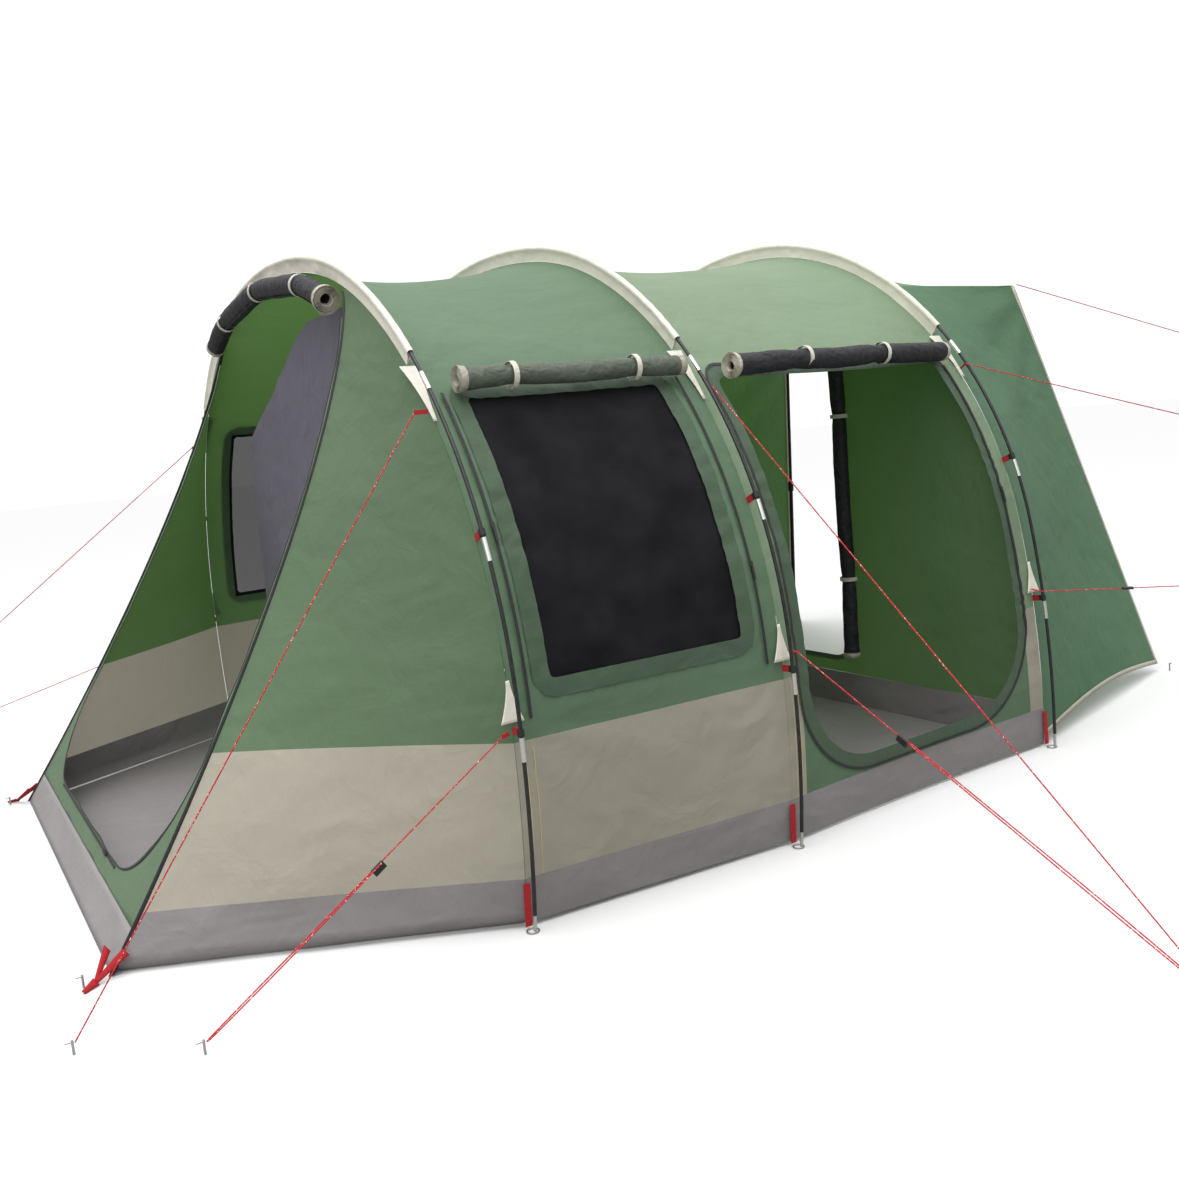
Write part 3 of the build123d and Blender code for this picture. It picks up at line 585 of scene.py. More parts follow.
def relief(x, s):
    """How far the cloth lies inside its even shape."""
    a, b = (FRONT, MIDDLE) if x < 0 else (MIDDLE, REAR)
    arch = wall_at(x)
    t = (x - a.x) / (b.x - a.x)
    high = smooth(1.2, 2.0, min(s, arch.length - s))
    deep = sizes().sag * 4 * t * (1 - t) * high
    c = sizes().crease
    near_hoop = exp(-min(x - a.x, b.x - x) / CREASE_FADE)
    deep += c * 0.5 * near_hoop * high * (1 + ripple(x * 1.5, s * 11.0, 3.1) * 2.2)
    deep += c * 0.9 * abs(ripple(x * 1.3 + s * 0.9, s * 3.6 - x * 1.1, 8.0))
    for rx, rs in PULLS:
        dx, ds = x - rx, s - rs
        far = hypot(dx, ds)
        if far < CREASE_REACH:
            ray = sin(CREASE_RAYS * atan2(ds, abs(dx) + 0.02) + rs * 5)
            deep += c * 0.75 * max(ray, 0) * exp(-far / CREASE_FADE) * smooth(0.0, 0.07, far)
    return deep


def skin(x, s, lift=0.0):
    """Point of the main cloth at x and at length s along its arch, lifted outward."""
    arch = wall_at(round(x, 5))
    inward = arch.inward(s)
    ends = exp(-min(abs(x - hoop.x) for hoop in HOOPS) / 0.012)
    return arch.at(s, INSET) + inward * (relief(x, s) * (1 - ends) - lift)


def wall_place(x0, x1, low, high, lift=0.0, side=-1):
    """Maps the unit square to a stretch of side wall between two heights."""

    def place(u, v):
        x = x0 + u * (x1 - x0)
        z = low + v * (high - low)
        arch = wall_at(round(x, 5))
        s = side_station(round(x, 5), round(z, 5))
        return skin(x, s if side < 0 else arch.length - s, lift)
    return place


def wall_cut(x0, x1, low, high, holes, side=-1):
    """Cuts openings in a stretch of side wall laid by wall_place."""
    return punch([h for h in holes if h.side == side],
                 lambda u, v: (x0 + u * (x1 - x0), low + v * (high - low), side),
                 lambda p, z, _: ((p - x0) / (x1 - x0), (z - low) / (high - low)))


def roof_panel(name, material, a, b, holes):
    """The green cloth from the near seam over to the far seam."""
    x0, x1 = a.x + SEAM_GAP, b.x - SEAM_GAP

    def to_arch(u, v):
        x = round(x0 + u * (x1 - x0), 5)
        arch = wall_at(x)
        s0 = side_station(x, BAND_TOP)
        return x, arch, s0 + v * (arch.length - 2 * s0)

    def place(u, v):
        x, arch, s = to_arch(u, v)
        return skin(x, s)

    def to_wall(u, v):
        x, arch, s = to_arch(u, v)
        return x, arch.near(min(s, arch.length - s), INSET)[1], -1 if s < arch.half else 1

    def from_wall(p, z, side):
        x = round(p, 5)
        arch = wall_at(x)
        s0 = side_station(x, BAND_TOP)
        s = arch.station(z)
        s = s if side < 0 else arch.length - s
        return (p - x0) / (x1 - x0), (s - s0) / (arch.length - 2 * s0)

    long = wall_at(round((x0 + x1) / 2, 5)).length - 2 * BAND_TOP
    made = lay_grid(name, material, count(x1 - x0), count(long), place,
                    cut=punch(holes, to_wall, from_wall))
    area = (x1 - x0) * long - sum(h.area() for h in holes)
    return made


def tape(name, material, hole, width, lift, place_at, inner=0.0, thick=0.0):
    """A flat binding that follows an opening's outline."""

    def place(u, v):
        (p, q), (dp, dq) = hole.outline(u)
        off = inner + v * width
        return place_at(p + dp * off, q + dq * off, lift)
    return lay_grid(name, material, count(hole.length(), 0.012), 3, place, weld=True, thick=thick)


def side_point(side):
    """Maps x and height to the cloth of one side wall."""

    def place(x, z, lift):
        x = min(max(x, FRONT.x + 0.002), REAR.x - 0.002)
        arch = wall_at(round(x, 5))
        s = arch.station(z)
        return skin(x, s if side < 0 else arch.length - s, lift)
    return place


ROLL_INNER = 0.009
ROLL_DROOP = 0.006


def spiral_roll(name, material, start, end, outer, unrolled, up, pinches):
    """A panel rolled up loosely about the line from start to end, drawn in where loops hold it."""
    start, end = Vector(start), Vector(end)
    along = end - start
    side = along.cross(Vector(up)).normalized()
    rise = side.cross(along).normalized()
    turns = unrolled / (pi * (ROLL_INNER + outer))

    def place(u, v):
        angle = 2 * pi * turns * v
        hold = min([abs(u - p) * along.length for p in pinches] or [1.0])
        pinch = 1 - 0.14 * exp(-(hold / 0.035) ** 2)
        body = 1 - exp(-(hold / 0.16) ** 2)
        flare = exp(-(u * along.length / 0.030) ** 2)
        radius = ROLL_INNER + 0.007 * flare + (outer - ROLL_INNER) * v ** 0.97
        lump = 1 + 0.05 * ripple(u * along.length * 9, angle * 0.5, 2.0) * v
        lump += 0.035 * ripple(u * 40, v * 7, 5.0)
        radius *= pinch * lump
        centre = start + along * u - rise * ROLL_DROOP * body
        return centre + side * radius * cos(angle) + rise * radius * sin(angle) * 0.94
    made = lay_grid(name, material, count(along.length, ROLL_CELL), int(turns * ROLL_FACES), place,
                    thick=ROLL_CLOTH)
    return made


def paint(node, material):
    """Gives a CAD node a better material in its slot."""
    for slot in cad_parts[node].material_slots:
        slot.material = material


class TENT_OT_bays(bpy.types.Operator):
    """Cloth between the hoops: roofs, beige band and grey skirt"""
    bl_idname = "tent.bays"
    bl_label = "Bays"

    def execute(self, context):
        front = roof_panel("roof_front", cloth("roof"), FRONT, MIDDLE, WINDOWS)
        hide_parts("bay_roof_front")
        rear = roof_panel("roof_rear", cloth("rear"), MIDDLE, REAR, [SIDE_DOOR])
        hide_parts("bay_roof_rear")
        for a, b, tag in ((FRONT, MIDDLE, "front"), (MIDDLE, REAR, "rear")):
            for side, way in SIDES:
                x0, x1 = a.x + SEAM_GAP, b.x - SEAM_GAP
                self.strip(f"skirt_{tag}_{way}", "bay_mud_skirt", cloth("skirt", 1.0, 0.0), (x0, x1),
                           (SHEET_TOP, TUB_TOP), side)
                if (tag, way) != ("rear", "near"):
                    self.strip(f"band_{tag}_{way}", "bay_beige_band", cloth("beige", 1.0, 0.30), (x0, x1),
                               (TUB_TOP, BAND_TOP), side)
        low, high = SIDE_PANEL
        for tag, span in (("left", (MIDDLE.x + SEAM_GAP, low)), ("right", (high, REAR.x - SEAM_GAP))):
            self.strip(f"band_door_{tag}", "bay_beige_band", cloth("beige", 1.0, 0.30), span,
                       (TUB_TOP, BAND_TOP), -1)
        self.strip("side_door_sill", "door_sills", cloth("roof", 0.9), SIDE_PANEL, (TUB_TOP, BAND_TOP), -1,
                   [SIDE_DOOR], 0.31)

        for hoop in HOOPS[:2]:
            for off in (0.028, 0.052):
                x = hoop.x + off
                lay_grid(f"seam_{round(hoop.x * 100)}_{round(off * 1000)}", cloth("stitch", 1.0, 0.0), 1,
                         count(BAND_TOP), wall_place(x, x + 0.0022, TUB_TOP, BAND_TOP, 0.0012))
        return {"FINISHED"}

    def strip(self, name, node, material, across, heights, side, holes=(), share=1.0):
        """A length of side wall between two heights."""
        size = (across[1] - across[0], heights[1] - heights[0])
        made = lay_grid(name, material, count(size[0]), count(size[1]),
                        wall_place(*across, *heights, 0.0, side),
                        cut=wall_cut(*across, *heights, holes, side))
        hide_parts(node)
        share * size[0] * size[1]


# Patches: middle along the pole, length, spread at the wide end, which end is wide (1 up, -1 down)
PATCHES = ((1.510, 0.210, 0.046, 1), (0.612, 0.110, 0.056, -1))
PATCH_TIP = 0.010
SLEEVE_RADIUS = 0.0100


class TENT_OT_sleeves(bpy.types.Operator):
    """Pole sleeves with their webs, and the reinforcing patches"""
    bl_idname = "tent.sleeves"
    bl_label = "Sleeves"

    def execute(self, context):
        for hoop, tag in zip(HOOPS, ("front", "middle", "rear")):
            long = hoop.length - 2 * SLEEVE_START

            def place(u, v, hoop=hoop, long=long):
                s = SLEEVE_START + u * long
                inward = hoop.inward(s)
                gather = ripple(s * 24, hoop.x * 5, 1.0)
                if v < 0.25 or v > 0.75:
                    side = -1 if v < 0.25 else 1
                    f = v / 0.25 if v < 0.25 else (1 - v) / 0.25
                    depth = INSET - 0.001 - f * (INSET - 0.0105)
                    across = side * (0.0015 + 0.004 * f * f)
                    across += 0.0025 * gather * sin(pi * f)
                    return hoop.at(s, depth) + Vector((across, 0, 0))
                turn = pi * 1.5 * (v - 0.5) / 0.25 * 0.5
                radius = SLEEVE_RADIUS + 0.0006 * gather + 0.0012 * ripple(s * 60, v * 3, hoop.x)
                return hoop.at(s, 0) + Vector((sin(turn) * radius, 0, 0)) - inward * cos(turn) * radius
            made = lay_grid(f"sleeve_{tag}_cloth", cloth("sleeve", 1.0, 0.08), count(long, 0.010), 20,
                            place)
            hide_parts(f"sleeve_{tag}")

            for s_mid, size, wide, up in PATCHES:
                for side, way in SIDES:
                    s_top = s_mid + size / 2

                    def patch(u, v, hoop=hoop, s_top=s_top, size=size, side=side, wide=wide, up=up):
                        s = s_top - v * size
                        share = (1 - v if up > 0 else v) ** 1.6
                        x = hoop.x + (u - 0.5) * (PATCH_TIP + wide * share)
                        arch = wall_at(round(min(max(x, FRONT.x), REAR.x), 5))
                        at = arch.at(s if side < 0 else arch.length - s, INSET - 0.006)
                        return Vector((x, at.y, at.z))
                    made = lay_grid(f"patch_{tag}_{way}_{round(s_mid * 100)}", cloth("sleeve", 0.95, 0.0),
                                    8, 12, patch, thick=0.002)
                    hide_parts("corner_patches")
        return {"FINISHED"}


PORCH_TOP = 1.755
PORCH_LENGTH = 0.947
PORCH_TOP_HALF = 0.690
PORCH_SPREAD = 0.285
PORCH_HEM = 0.014
FOOT_TUCK = 0.030    # the skirt's foot turns in this far to meet the groundsheet


def porch_edge(z):
    """Free front edge of the porch wall on the near side."""
    up = max(1 - z / PORCH_TOP, 0)
    return FRONT.x - PORCH_LENGTH * up ** 1.28, -(PORCH_TOP_HALF + PORCH_SPREAD * up ** 0.6)


def porch_wall(side, low, high):
    """Maps the unit square to a stretch of porch wall between two heights."""

    def place(u, v):
        z = low + v * (high - low)
        ex, ey = porch_edge(z)
        hx, hy = FRONT.x - 0.0008, FRONT.near_y(z)
        x = hx + u * (ex - hx)
        y = hy + u * (ey - hy)
        span = max(hx - ex, 0.01)
        pull = ripple(x * 1.6 + z * 1.5, z * 4.6 - x * 2.2, 4.0 + side)
        ray = sin(16 * atan2(z - 0.02, x - porch_edge(0.02)[0] + 0.03))
        deep = sizes().crease * (1.7 * abs(pull) + 0.9 * ray * exp(-hypot(x + 1.80, z) / 0.45))
        bow = 0.020 * sin(pi * u) * sin(pi * min(z / 1.5, 1.0))
        y += (deep * 1.2 * sin(pi * min(u * 1.02, 1.0)) + bow) * min(span / 0.3, 1.0)
        y += FOOT_TUCK * (1 - smooth(SHEET_TOP, 0.022, z))
        return on_side(side, x, y, z)
    return place


FRONT_SKIRT_TOP = 0.100
FRONT_SILL = 0.150
FRONT_FOOT_HALF = 0.570
FRONT_CORNER = 0.300
FRONT_STRIP = 0.030
FRONT_TOP = PORCH_TOP - 0.09
BINDING = 0.07    # width of the front door's binding, as a share of the panel's

# Webbing straps of a porch corner: name, top and foot on the far side
STRAPS = (("front", (-1.806, 0.930, 0.060), (-1.852, 1.004, 0.010)),
          ("side", (-1.770, 0.990, 0.060), (-1.852, 1.004, 0.010)),
          ("tail", (-1.850, 1.003, 0.011), (-1.885, 1.030, 0.004)))


def front_rims(t):
    """Half width and height of the front panel's outer and inner rim, from the top (0) to the middle (1)."""
    if t < 0.4:
        z = FRONT_TOP - (FRONT_TOP - FRONT_SILL - FRONT_CORNER) * t / 0.4
        half = -porch_edge(z)[1]
        return (half, z), (half - FRONT_STRIP, z)
    if t > 0.8:
        half = FRONT_FOOT_HALF * (1 - t) / 0.2
        return (half, FRONT_SKIRT_TOP), (half, FRONT_SILL)
    f = (t - 0.4) / 0.4
    turn = f * pi / 2
    side = -porch_edge(FRONT_SILL + FRONT_CORNER)[1] - FRONT_STRIP - FRONT_FOOT_HALF
    inner = (FRONT_FOOT_HALF + side * cos(turn), FRONT_SILL + FRONT_CORNER * (1 - sin(turn)))
    if f < 0.5:
        z = FRONT_SILL + FRONT_CORNER + (FRONT_SKIRT_TOP - FRONT_SILL - FRONT_CORNER) * f / 0.5
        return (-porch_edge(z)[1], z), inner
    corner = -porch_edge(FRONT_SKIRT_TOP)[1]
    return (corner + (FRONT_FOOT_HALF - corner) * (f - 0.5) / 0.5, FRONT_SKIRT_TOP), inner


def front_panel(u, v):
    """The cloth round the front door's opening: u runs from the near top by the foot to the far top."""
    side = -1 if u < 0.5 else 1
    (y0, z0), (y1, z1) = front_rims(1 - abs(2 * u - 1))
    y, z = y0 + v * (y1 - y0), z0 + v * (z1 - z0)
    x = porch_edge(z)[0] + 0.003 + 0.004 * ripple(z * 9, y * 6, 1.0)
    return Vector((x, side * y, z))


class TENT_OT_porch(bpy.types.Operator):
    """Porch walls with their hems, the panel round the front door, the front skirt and the corner straps"""
    bl_idname = "tent.porch"
    bl_label = "Porch"

    def execute(self, context):
        parts = (("skirt", SHEET_TOP, TUB_TOP, cloth("skirt", 1.0, 0.0), "porch_mud_skirt", 0.93),
                 ("band", TUB_TOP, BAND_TOP, cloth("beige", 1.22, 0.34), "porch_beige_band", 0.80),
                 ("wall", BAND_TOP, PORCH_TOP - 0.006, cloth("porch"), "porch_walls", 0.62))
        for side, way in SIDES:
            for part, low, high, material, node, wide in parts:
                made = lay_grid(f"porch_{part}_{way}", material, count(0.9), count(high - low),
                                porch_wall(side, low, high))
                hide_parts(node)
                size = (wide, (high - low) * 1.25)
                size[0] * size[1] * (0.55 if part == "wall" else 0.95)

            def hem(u, v, side=side):
                z = SHEET_TOP + v * (PORCH_TOP - 0.012 - SHEET_TOP)
                x, y = porch_edge(z)
                return on_side(side, x - 0.006 + u * PORCH_HEM, y - 0.0035, z)
            lay_grid(f"porch_hem_{way}", zip_tape(), 2, count(1.7, 0.02), hem, thick=0.0015)

            for tag, top, foot in STRAPS:
                def strap(u, v, side=side, top=top, foot=foot):
                    x, y, z = Vector(top).lerp(Vector(foot), v)
                    wide = (u - 0.5) * 0.024 * (1.0 - 0.5 * v)
                    return Vector((x - wide * 0.5, side * (y - wide * 0.5), z + wide * 0.7))
                lay_grid(f"corner_strap_{tag}_{way}", webbing("red"), 2, 8, strap, thick=0.0018)
        made = lay_grid("front_panel", cloth("porch", 1.08), 220, 8, front_panel, thick=0.001)
        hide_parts("front_door_strips")
        lay_grid("front_binding", zip_tape(), 220, 1,
                 lambda u, v: front_panel(u, 1.0 + BINDING * v) + Vector((-0.002, 0, 0)), thick=0.0015)

        def front_skirt(u, v):
            z = SHEET_TOP + v * (FRONT_SKIRT_TOP - SHEET_TOP)
            x, y = porch_edge(z)
            fold = 0.006 * ripple(u * 9, z * 8, 2.0) * sin(pi * v)
            return Vector((x + 0.002 + fold, -y * (2 * u - 1), z))
        made = lay_grid("front_skirt", cloth("skirt", 1.15, 0.0), count(1.9), count(0.14), front_skirt,
                        thick=0.001)
        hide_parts("porch_mud_skirt")
        return {"FINISHED"}


FRONT_ROLL = 2.150, 3.590             # where the roll starts and ends along the pole
FRONT_HOLDS = 2.400, 2.870, 3.340     # its loops
FRONT_ROLL_INSET = 0.080
FRONT_DOOR_LENGTH = 1.15
FRONT_ROLL_GROWTH = 0.027
ROLL_FACES = 26                       # faces in one turn of a roll
ROLL_CELL = 0.012
ROLL_CLOTH = 0.0009


class TENT_OT_front_door(bpy.types.Operator):
    """Front door rolled up under the first hoop, with its loops"""
    bl_idname = "tent.front_door"
    bl_label = "Front door"

    def execute(self, context):
        s0, s1 = FRONT_ROLL
        turns = FRONT_DOOR_LENGTH / (pi * (2 * ROLL_INNER + FRONT_ROLL_GROWTH))
        holds = [(s - s0) / (s1 - s0) for s in FRONT_HOLDS]

        def place(u, v):
            s = s0 + u * (s1 - s0)
            centre, inward = FRONT.at(s, FRONT_ROLL_INSET), FRONT.inward(s)
            centre.x = FRONT.x - 0.046
            angle = 2 * pi * turns * v + 1.2
            hold = min(abs(u - p) for p in holds) * (s1 - s0)
            flare = exp(-(u * (s1 - s0) / 0.035) ** 2)
            radius = ROLL_INNER + 0.010 * flare + FRONT_ROLL_GROWTH * v
            radius *= 1 - 0.16 * exp(-(hold / 0.035) ** 2)
            radius *= 1 + 0.06 * ripple(u * 17, angle * 0.5, 2.0) * v + 0.05 * ripple(u * 45, v * 7, 5.0)
            centre += inward * 0.008 * (1 - exp(-(hold / 0.16) ** 2))
            return centre + Vector((1, 0, 0)) * radius * cos(angle) + inward * radius * sin(angle)
        made = lay_grid("front_roll", rolled_cloth(*LINING), count(s1 - s0, ROLL_CELL),
                        int(turns * ROLL_FACES), place, thick=ROLL_CLOTH)
        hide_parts("front_door_roll")
        paint("front_door_toggles", webbing("sleeve"))
        return {"FINISHED"}


NET_LAP = 0.010
WINDOW_FRAME = 0.050
WINDOW_ROLL = -0.778, -0.044
ROLL_HEIGHT = 1.437
FACE_INSET = 0.002


def roll_point(x, z, side=-1):
    """Axis of a rolled side panel at one x."""
    return on_side(side, x, wall_at(x).near_y(ROLL_HEIGHT, FACE_INSET), z)


class TENT_OT_windows(bpy.types.Operator):
    """Netting, frames and rolled covers of the side windows"""
    bl_idname = "tent.windows"
    bl_label = "Windows"

    def execute(self, context):
        for side, way in SIDES:
            hole = Opening(*WINDOW, WINDOW_ROUND, side)
            (x0, x1), (z0, z1) = ((low - NET_LAP, high + NET_LAP) for low, high in WINDOW)
            place = wall_place(x0, x1, z0, z1, -0.003, side)
            made = lay_grid(f"netting_{way}", netting(), count(x1 - x0), count(z1 - z0), place)
            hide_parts("window_mesh")

            def ruffle(x, z, lift, side=side):
                wave = 0.004 * ripple(x * 40, z * 40, 6.0)
                return side_point(side)(x, z, lift + wave)
            tape(f"window_frame_{way}", cloth("roof", 0.52, 0.0), hole, WINDOW_FRAME, 0.004, ruffle,
                        -0.004)
            start, end = (roll_point(x, ROLL_HEIGHT, side) for x in WINDOW_ROLL)
            made = spiral_roll(f"window_cover_{way}", rolled_cloth(*COVER), start, end, 0.033, 0.85,
                               (0, 0, 1), (0.223, 0.767))
            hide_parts("window_cover_rolls")
        paint("side_roll_toggles", webbing("sleeve"))
        paint("window_zips", zip_tape())
        return {"FINISHED"}


class TENT_OT_side_door(bpy.types.Operator):
    """Side door rolled up above its opening, with bindings"""
    bl_idname = "tent.side_door"
    bl_label = "Side door"

    def execute(self, context):
        start, end = roll_point(0.150, 1.430), roll_point(1.190, ROLL_HEIGHT)
        made = spiral_roll("side_door_cloth", rolled_cloth(*LINING), start, end, 0.037, 1.20, (0, 0, 1),
                           (0.269, 0.645))
        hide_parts("side_door_roll")
        tape("side_door_binding", cloth("roof", 0.50, 0.0), SIDE_DOOR, 0.045, 0.003, side_point(-1), -0.004)
        tape("side_door_zip_tape", zip_tape(), SIDE_DOOR, 0.008, 0.0055, side_point(-1), 0.036)
        paint("side_door_zip", zip_tape())
        return {"FINISHED"}


REAR_DOOR = Opening((-0.56, 0.56), (0.205, 1.56), (0.12, 0.12, 0.23, 0.23), 0)
REAR_ROLL = (1.214, -0.600, 0.230), (1.214, -0.600, 1.480)
REAR_INSET = INSET + 0.004


class TENT_OT_rear_wall(bpy.types.Operator):
    """Rear wall, its skirt and the rolled rear door"""
    bl_idname = "tent.rear_wall"
    bl_label = "Rear wall"

    def execute(self, context):
        low, top = TUB_TOP, REAR.at(REAR.half, REAR_INSET).z

        def half(z):
            return -REAR.near_y(min(z, top - 0.0005), REAR_INSET)

        def to_wall(u, v):
            z = low + v * (top - low)
            return (2 * u - 1) * half(z), z, 0

        def from_wall(p, z, _):
            return (p / half(z) + 1) / 2, (z - low) / (top - low)

        def place(u, v):
            y, z, _ = to_wall(u, v)
            return Vector((REAR.x - 0.007 + 0.006 * ripple(y * 3, z * 3, 7.0), y, z))
        made = lay_grid("rear_wall_cloth", cloth("porch", 1.0, 0.3), 110, 80, place,
                        cut=punch([REAR_DOOR], to_wall, from_wall))
        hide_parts("rear_wall")
        tape("rear_door_binding", zip_tape(), REAR_DOOR, 0.02, 0.0,
             lambda p, z, _: Vector((REAR.x - 0.001, p, z)), -0.003)
        made = spiral_roll("rear_door_cloth", rolled_cloth(*LINING), *REAR_ROLL, 0.032, 1.05, (1, 0, 0),
                           (0.264, 0.80))
        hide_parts("rear_door_roll")
        paint("rear_door_toggles", webbing("sleeve"))
        paint("rear_mud_skirt", cloth("skirt", 1.0, 0.0))
        return {"FINISHED"}


# Free edge of the inner tent's front wall, from its foot up: height, y
INNER_EDGE = ((0.060, 0.700), (0.652, 0.689), (1.031, 0.657), (1.354, 0.573), (1.554, 0.141),
              (1.715, -0.273))


def inner_edge(z):
    """How far across the inner tent's front wall reaches at one height."""
    for (z0, y0), (z1, y1) in zip(INNER_EDGE, INNER_EDGE[1:]):
        if z <= z1:
            return y0 + (y1 - y0) * max(z - z0, 0) / (z1 - z0)
    return INNER_EDGE[-1][1]


INNER_X = -0.845
INNER_FOOT = 0.060
INNER_TALL = 1.650
INNER_SIDE = (-0.82, 0.78), 1.5    # where the side wall starts, how long and how tall it is
INNER_FRONT_INSET = 0.105
INNER_SIDE_INSET = 0.108


class TENT_OT_inner(bpy.types.Operator):
    """Inner tent hanging in the front bay"""
    bl_idname = "tent.inner"
    bl_label = "Inner tent"

    def execute(self, context):
        def front(u, v):
            z = INNER_FOOT + v * INNER_TALL
            y0, y1 = FRONT.near_y(z, INNER_FRONT_INSET), inner_edge(z)
            y = y0 + u * max(y1 - y0, 0.01)
            fold = 0.014 * ripple(y * 4 - z * 1.0, z * 0.8, 2.0) + 0.006 * ripple(y * 11, z * 2.0, 5.0)
            return Vector((INNER_X + fold, y, z))
        made = lay_grid("inner_front_cloth", cloth("inner", 1.15, 0.1), count(2.0), count(INNER_TALL), front)
        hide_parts("inner_tent_front")

        (x0, long), tall = INNER_SIDE

        def side(u, v):
            x = x0 + u * long
            z = INNER_FOOT + v * tall
            arch = wall_at(round(x, 5))
            at = arch.at(arch.station(z, INNER_SIDE_INSET), INNER_SIDE_INSET)
            return at + Vector((0, 0.012 * ripple(x * 3, z * 2, 9.0), 0))
        made = lay_grid("inner_side_cloth", cloth("inner", 1.0, 0.1), count(long), count(tall), side)
        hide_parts("inner_tent_side")
        return {"FINISHED"}


CANOPY_TOP = Vector((2.166, 0.730, 1.720))
CANOPY_CORNER = Vector((2.465, 1.169, 0.020))
WING_FOOT = 0.034
WING_LIFT = 0.050    # rise of the wing's lower edge in its middle
TRIM = 0.020
LOW_TRIM = 0.018


def canopy_edge(z):
    """Rear edge of the near wing."""
    f = (z - CANOPY_CORNER.z) / (CANOPY_TOP.z - CANOPY_CORNER.z)
    at = CANOPY_CORNER + (CANOPY_TOP - CANOPY_CORNER) * f
    return at.x, -at.y


class TENT_OT_canopy(bpy.types.Operator):
    """Rear canopy: roof, side wings and their beige bindings"""
    bl_idname = "tent.canopy"
    bl_label = "Canopy"

    def execute(self, context):
        for side, way in SIDES:
            def wing(u, v, side=side):
                z = WING_FOOT + v * (CANOPY_TOP.z - 0.036)
                ex, ey = canopy_edge(z)
                hx, hy = REAR.x + 0.001, REAR.near_y(z)
                hang = WING_LIFT * sin(pi * u) * (1 - v) ** 4
                x, y = hx + u * (ex - hx), hy + u * (ey - hy)
                far = hypot(x - CANOPY_TOP.x, z - CANOPY_TOP.z)
                ray = sin(18 * atan2(CANOPY_TOP.z - z + 0.01, CANOPY_TOP.x - x + 0.25))
                deep = sizes().crease * (2.0 * ray * exp(-far / 0.6) + 1.2 * ripple(x * 2, z * 3 + x, side))
                y += (deep + 0.022 * sin(pi * v) * sin(pi * u)) * sin(pi * min(u + 0.02, 1.0)) ** 0.5
                return on_side(side, x, y, z + hang)
            made = lay_grid(f"wing_{way}", cloth("wing"), count(1.1), count(1.7), wing)
            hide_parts("canopy_wings")

            def trim(u, v, side=side):
                z = WING_FOOT + v * (CANOPY_TOP.z - 0.040)
                x, y = canopy_edge(z)
                return on_side(side, x - 0.018 + u * TRIM, y - 0.002, z)
            made = lay_grid(f"wing_trim_{way}", cloth("beige", 1.1, 0.0), 2, count(1.7, 0.03), trim,
                            thick=0.0015)
            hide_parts("canopy_edge_trim")

            def low_trim(u, v, side=side):
                z = WING_FOOT + u * LOW_TRIM
                ex, ey = canopy_edge(z)
                hx, hy = REAR.x + 0.001, REAR.near_y(z)
                x, y = hx + v * (ex - hx), hy + v * (ey - hy) - 0.002
                return on_side(side, x, y, z + WING_LIFT * sin(pi * v))
            lay_grid(f"wing_low_trim_{way}", cloth("beige", 1.0, 0.0), 2, count(1.2, 0.03), low_trim,
                     thick=0.0015)

        first = REAR.station(CANOPY_TOP.z + 0.002)

        def roof(u, v):
            s = first + v * (REAR.length - 2 * first)
            a = REAR.at(s, INSET) + Vector((0.001, 0, 0))
            t = 2 * v - 1
            b = Vector((CANOPY_TOP.x, t * CANOPY_TOP.y, CANOPY_TOP.z + 0.046 * (1 - t * t)))
            at = a + (b - a) * u
            bow = -0.035 * sin(pi * u) * (1 - 0.3 * t * t)
            for corner in (-1, 1):
                far = hypot(at.x - CANOPY_TOP.x, at.y - corner * CANOPY_TOP.y)
                ray = sin(15 * atan2(abs(at.y - corner * CANOPY_TOP.y) + 0.01, CANOPY_TOP.x - at.x + 0.01))
                pull = exp(-far / 0.4) * smooth(0, 0.1, far) * sin(pi * min(u + 0.05, 1))
                bow += sizes().crease * 1.1 * ray * pull
            return at + Vector((0, 0, bow * (1 if 0 < u < 1 else 0)))
        made = lay_grid("canopy_roof_cloth", cloth("rear", 0.95, 0.3), count(0.9), count(2.0), roof)
        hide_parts("canopy_roof")
        return {"FINISHED"}


# Guylines: start at the tab, loop at the far end, and how far up a doubled line comes back to its runner
GUYS = {
    "front_upper": ((-0.925, -1.256, 1.354), (-1.941, -1.332, 0.026), None),
    "front_lower": ((-0.906, -1.528, 0.532), (-1.702, -1.539, 0.026), 0.430),
    "middle_upper": ((0.017, -1.304, 1.362), (0.082, -2.703, 0.026), None),
    "middle_lower": ((0.017, -1.600, 0.588), (0.036, -2.723, 0.026), 0.420),
    "rear_upper": ((1.248, -1.216, 1.380), (1.917, -1.669, 1.109), None),
    "rear_lower": ((1.248, -1.494, 0.565), (1.690, -1.790, 0.540), None),
    "far_upper": ((-0.925, 1.256, 1.354), (-2.610, 1.721, 0.026), None),
    "far_lower": ((-0.906, 1.528, 0.532), (-2.668, 1.932, 0.026), None),
    "canopy": ((2.180, -0.738, 1.722), (2.929, -1.091, 1.428), None),
}
OPEN_LINES = "rear_upper", "rear_lower", "canopy"    # these end in a bare loop
LOOP_TURNS = 0.6, 1.4, 2.2, 3.1, 4.0, 4.8, 5.5
CAD_LINES = {"guylines_upper": "front_upper", "guylines_lower": "front_lower", "guylines_far": "far_upper",
             "guyline_canopy": "canopy"}


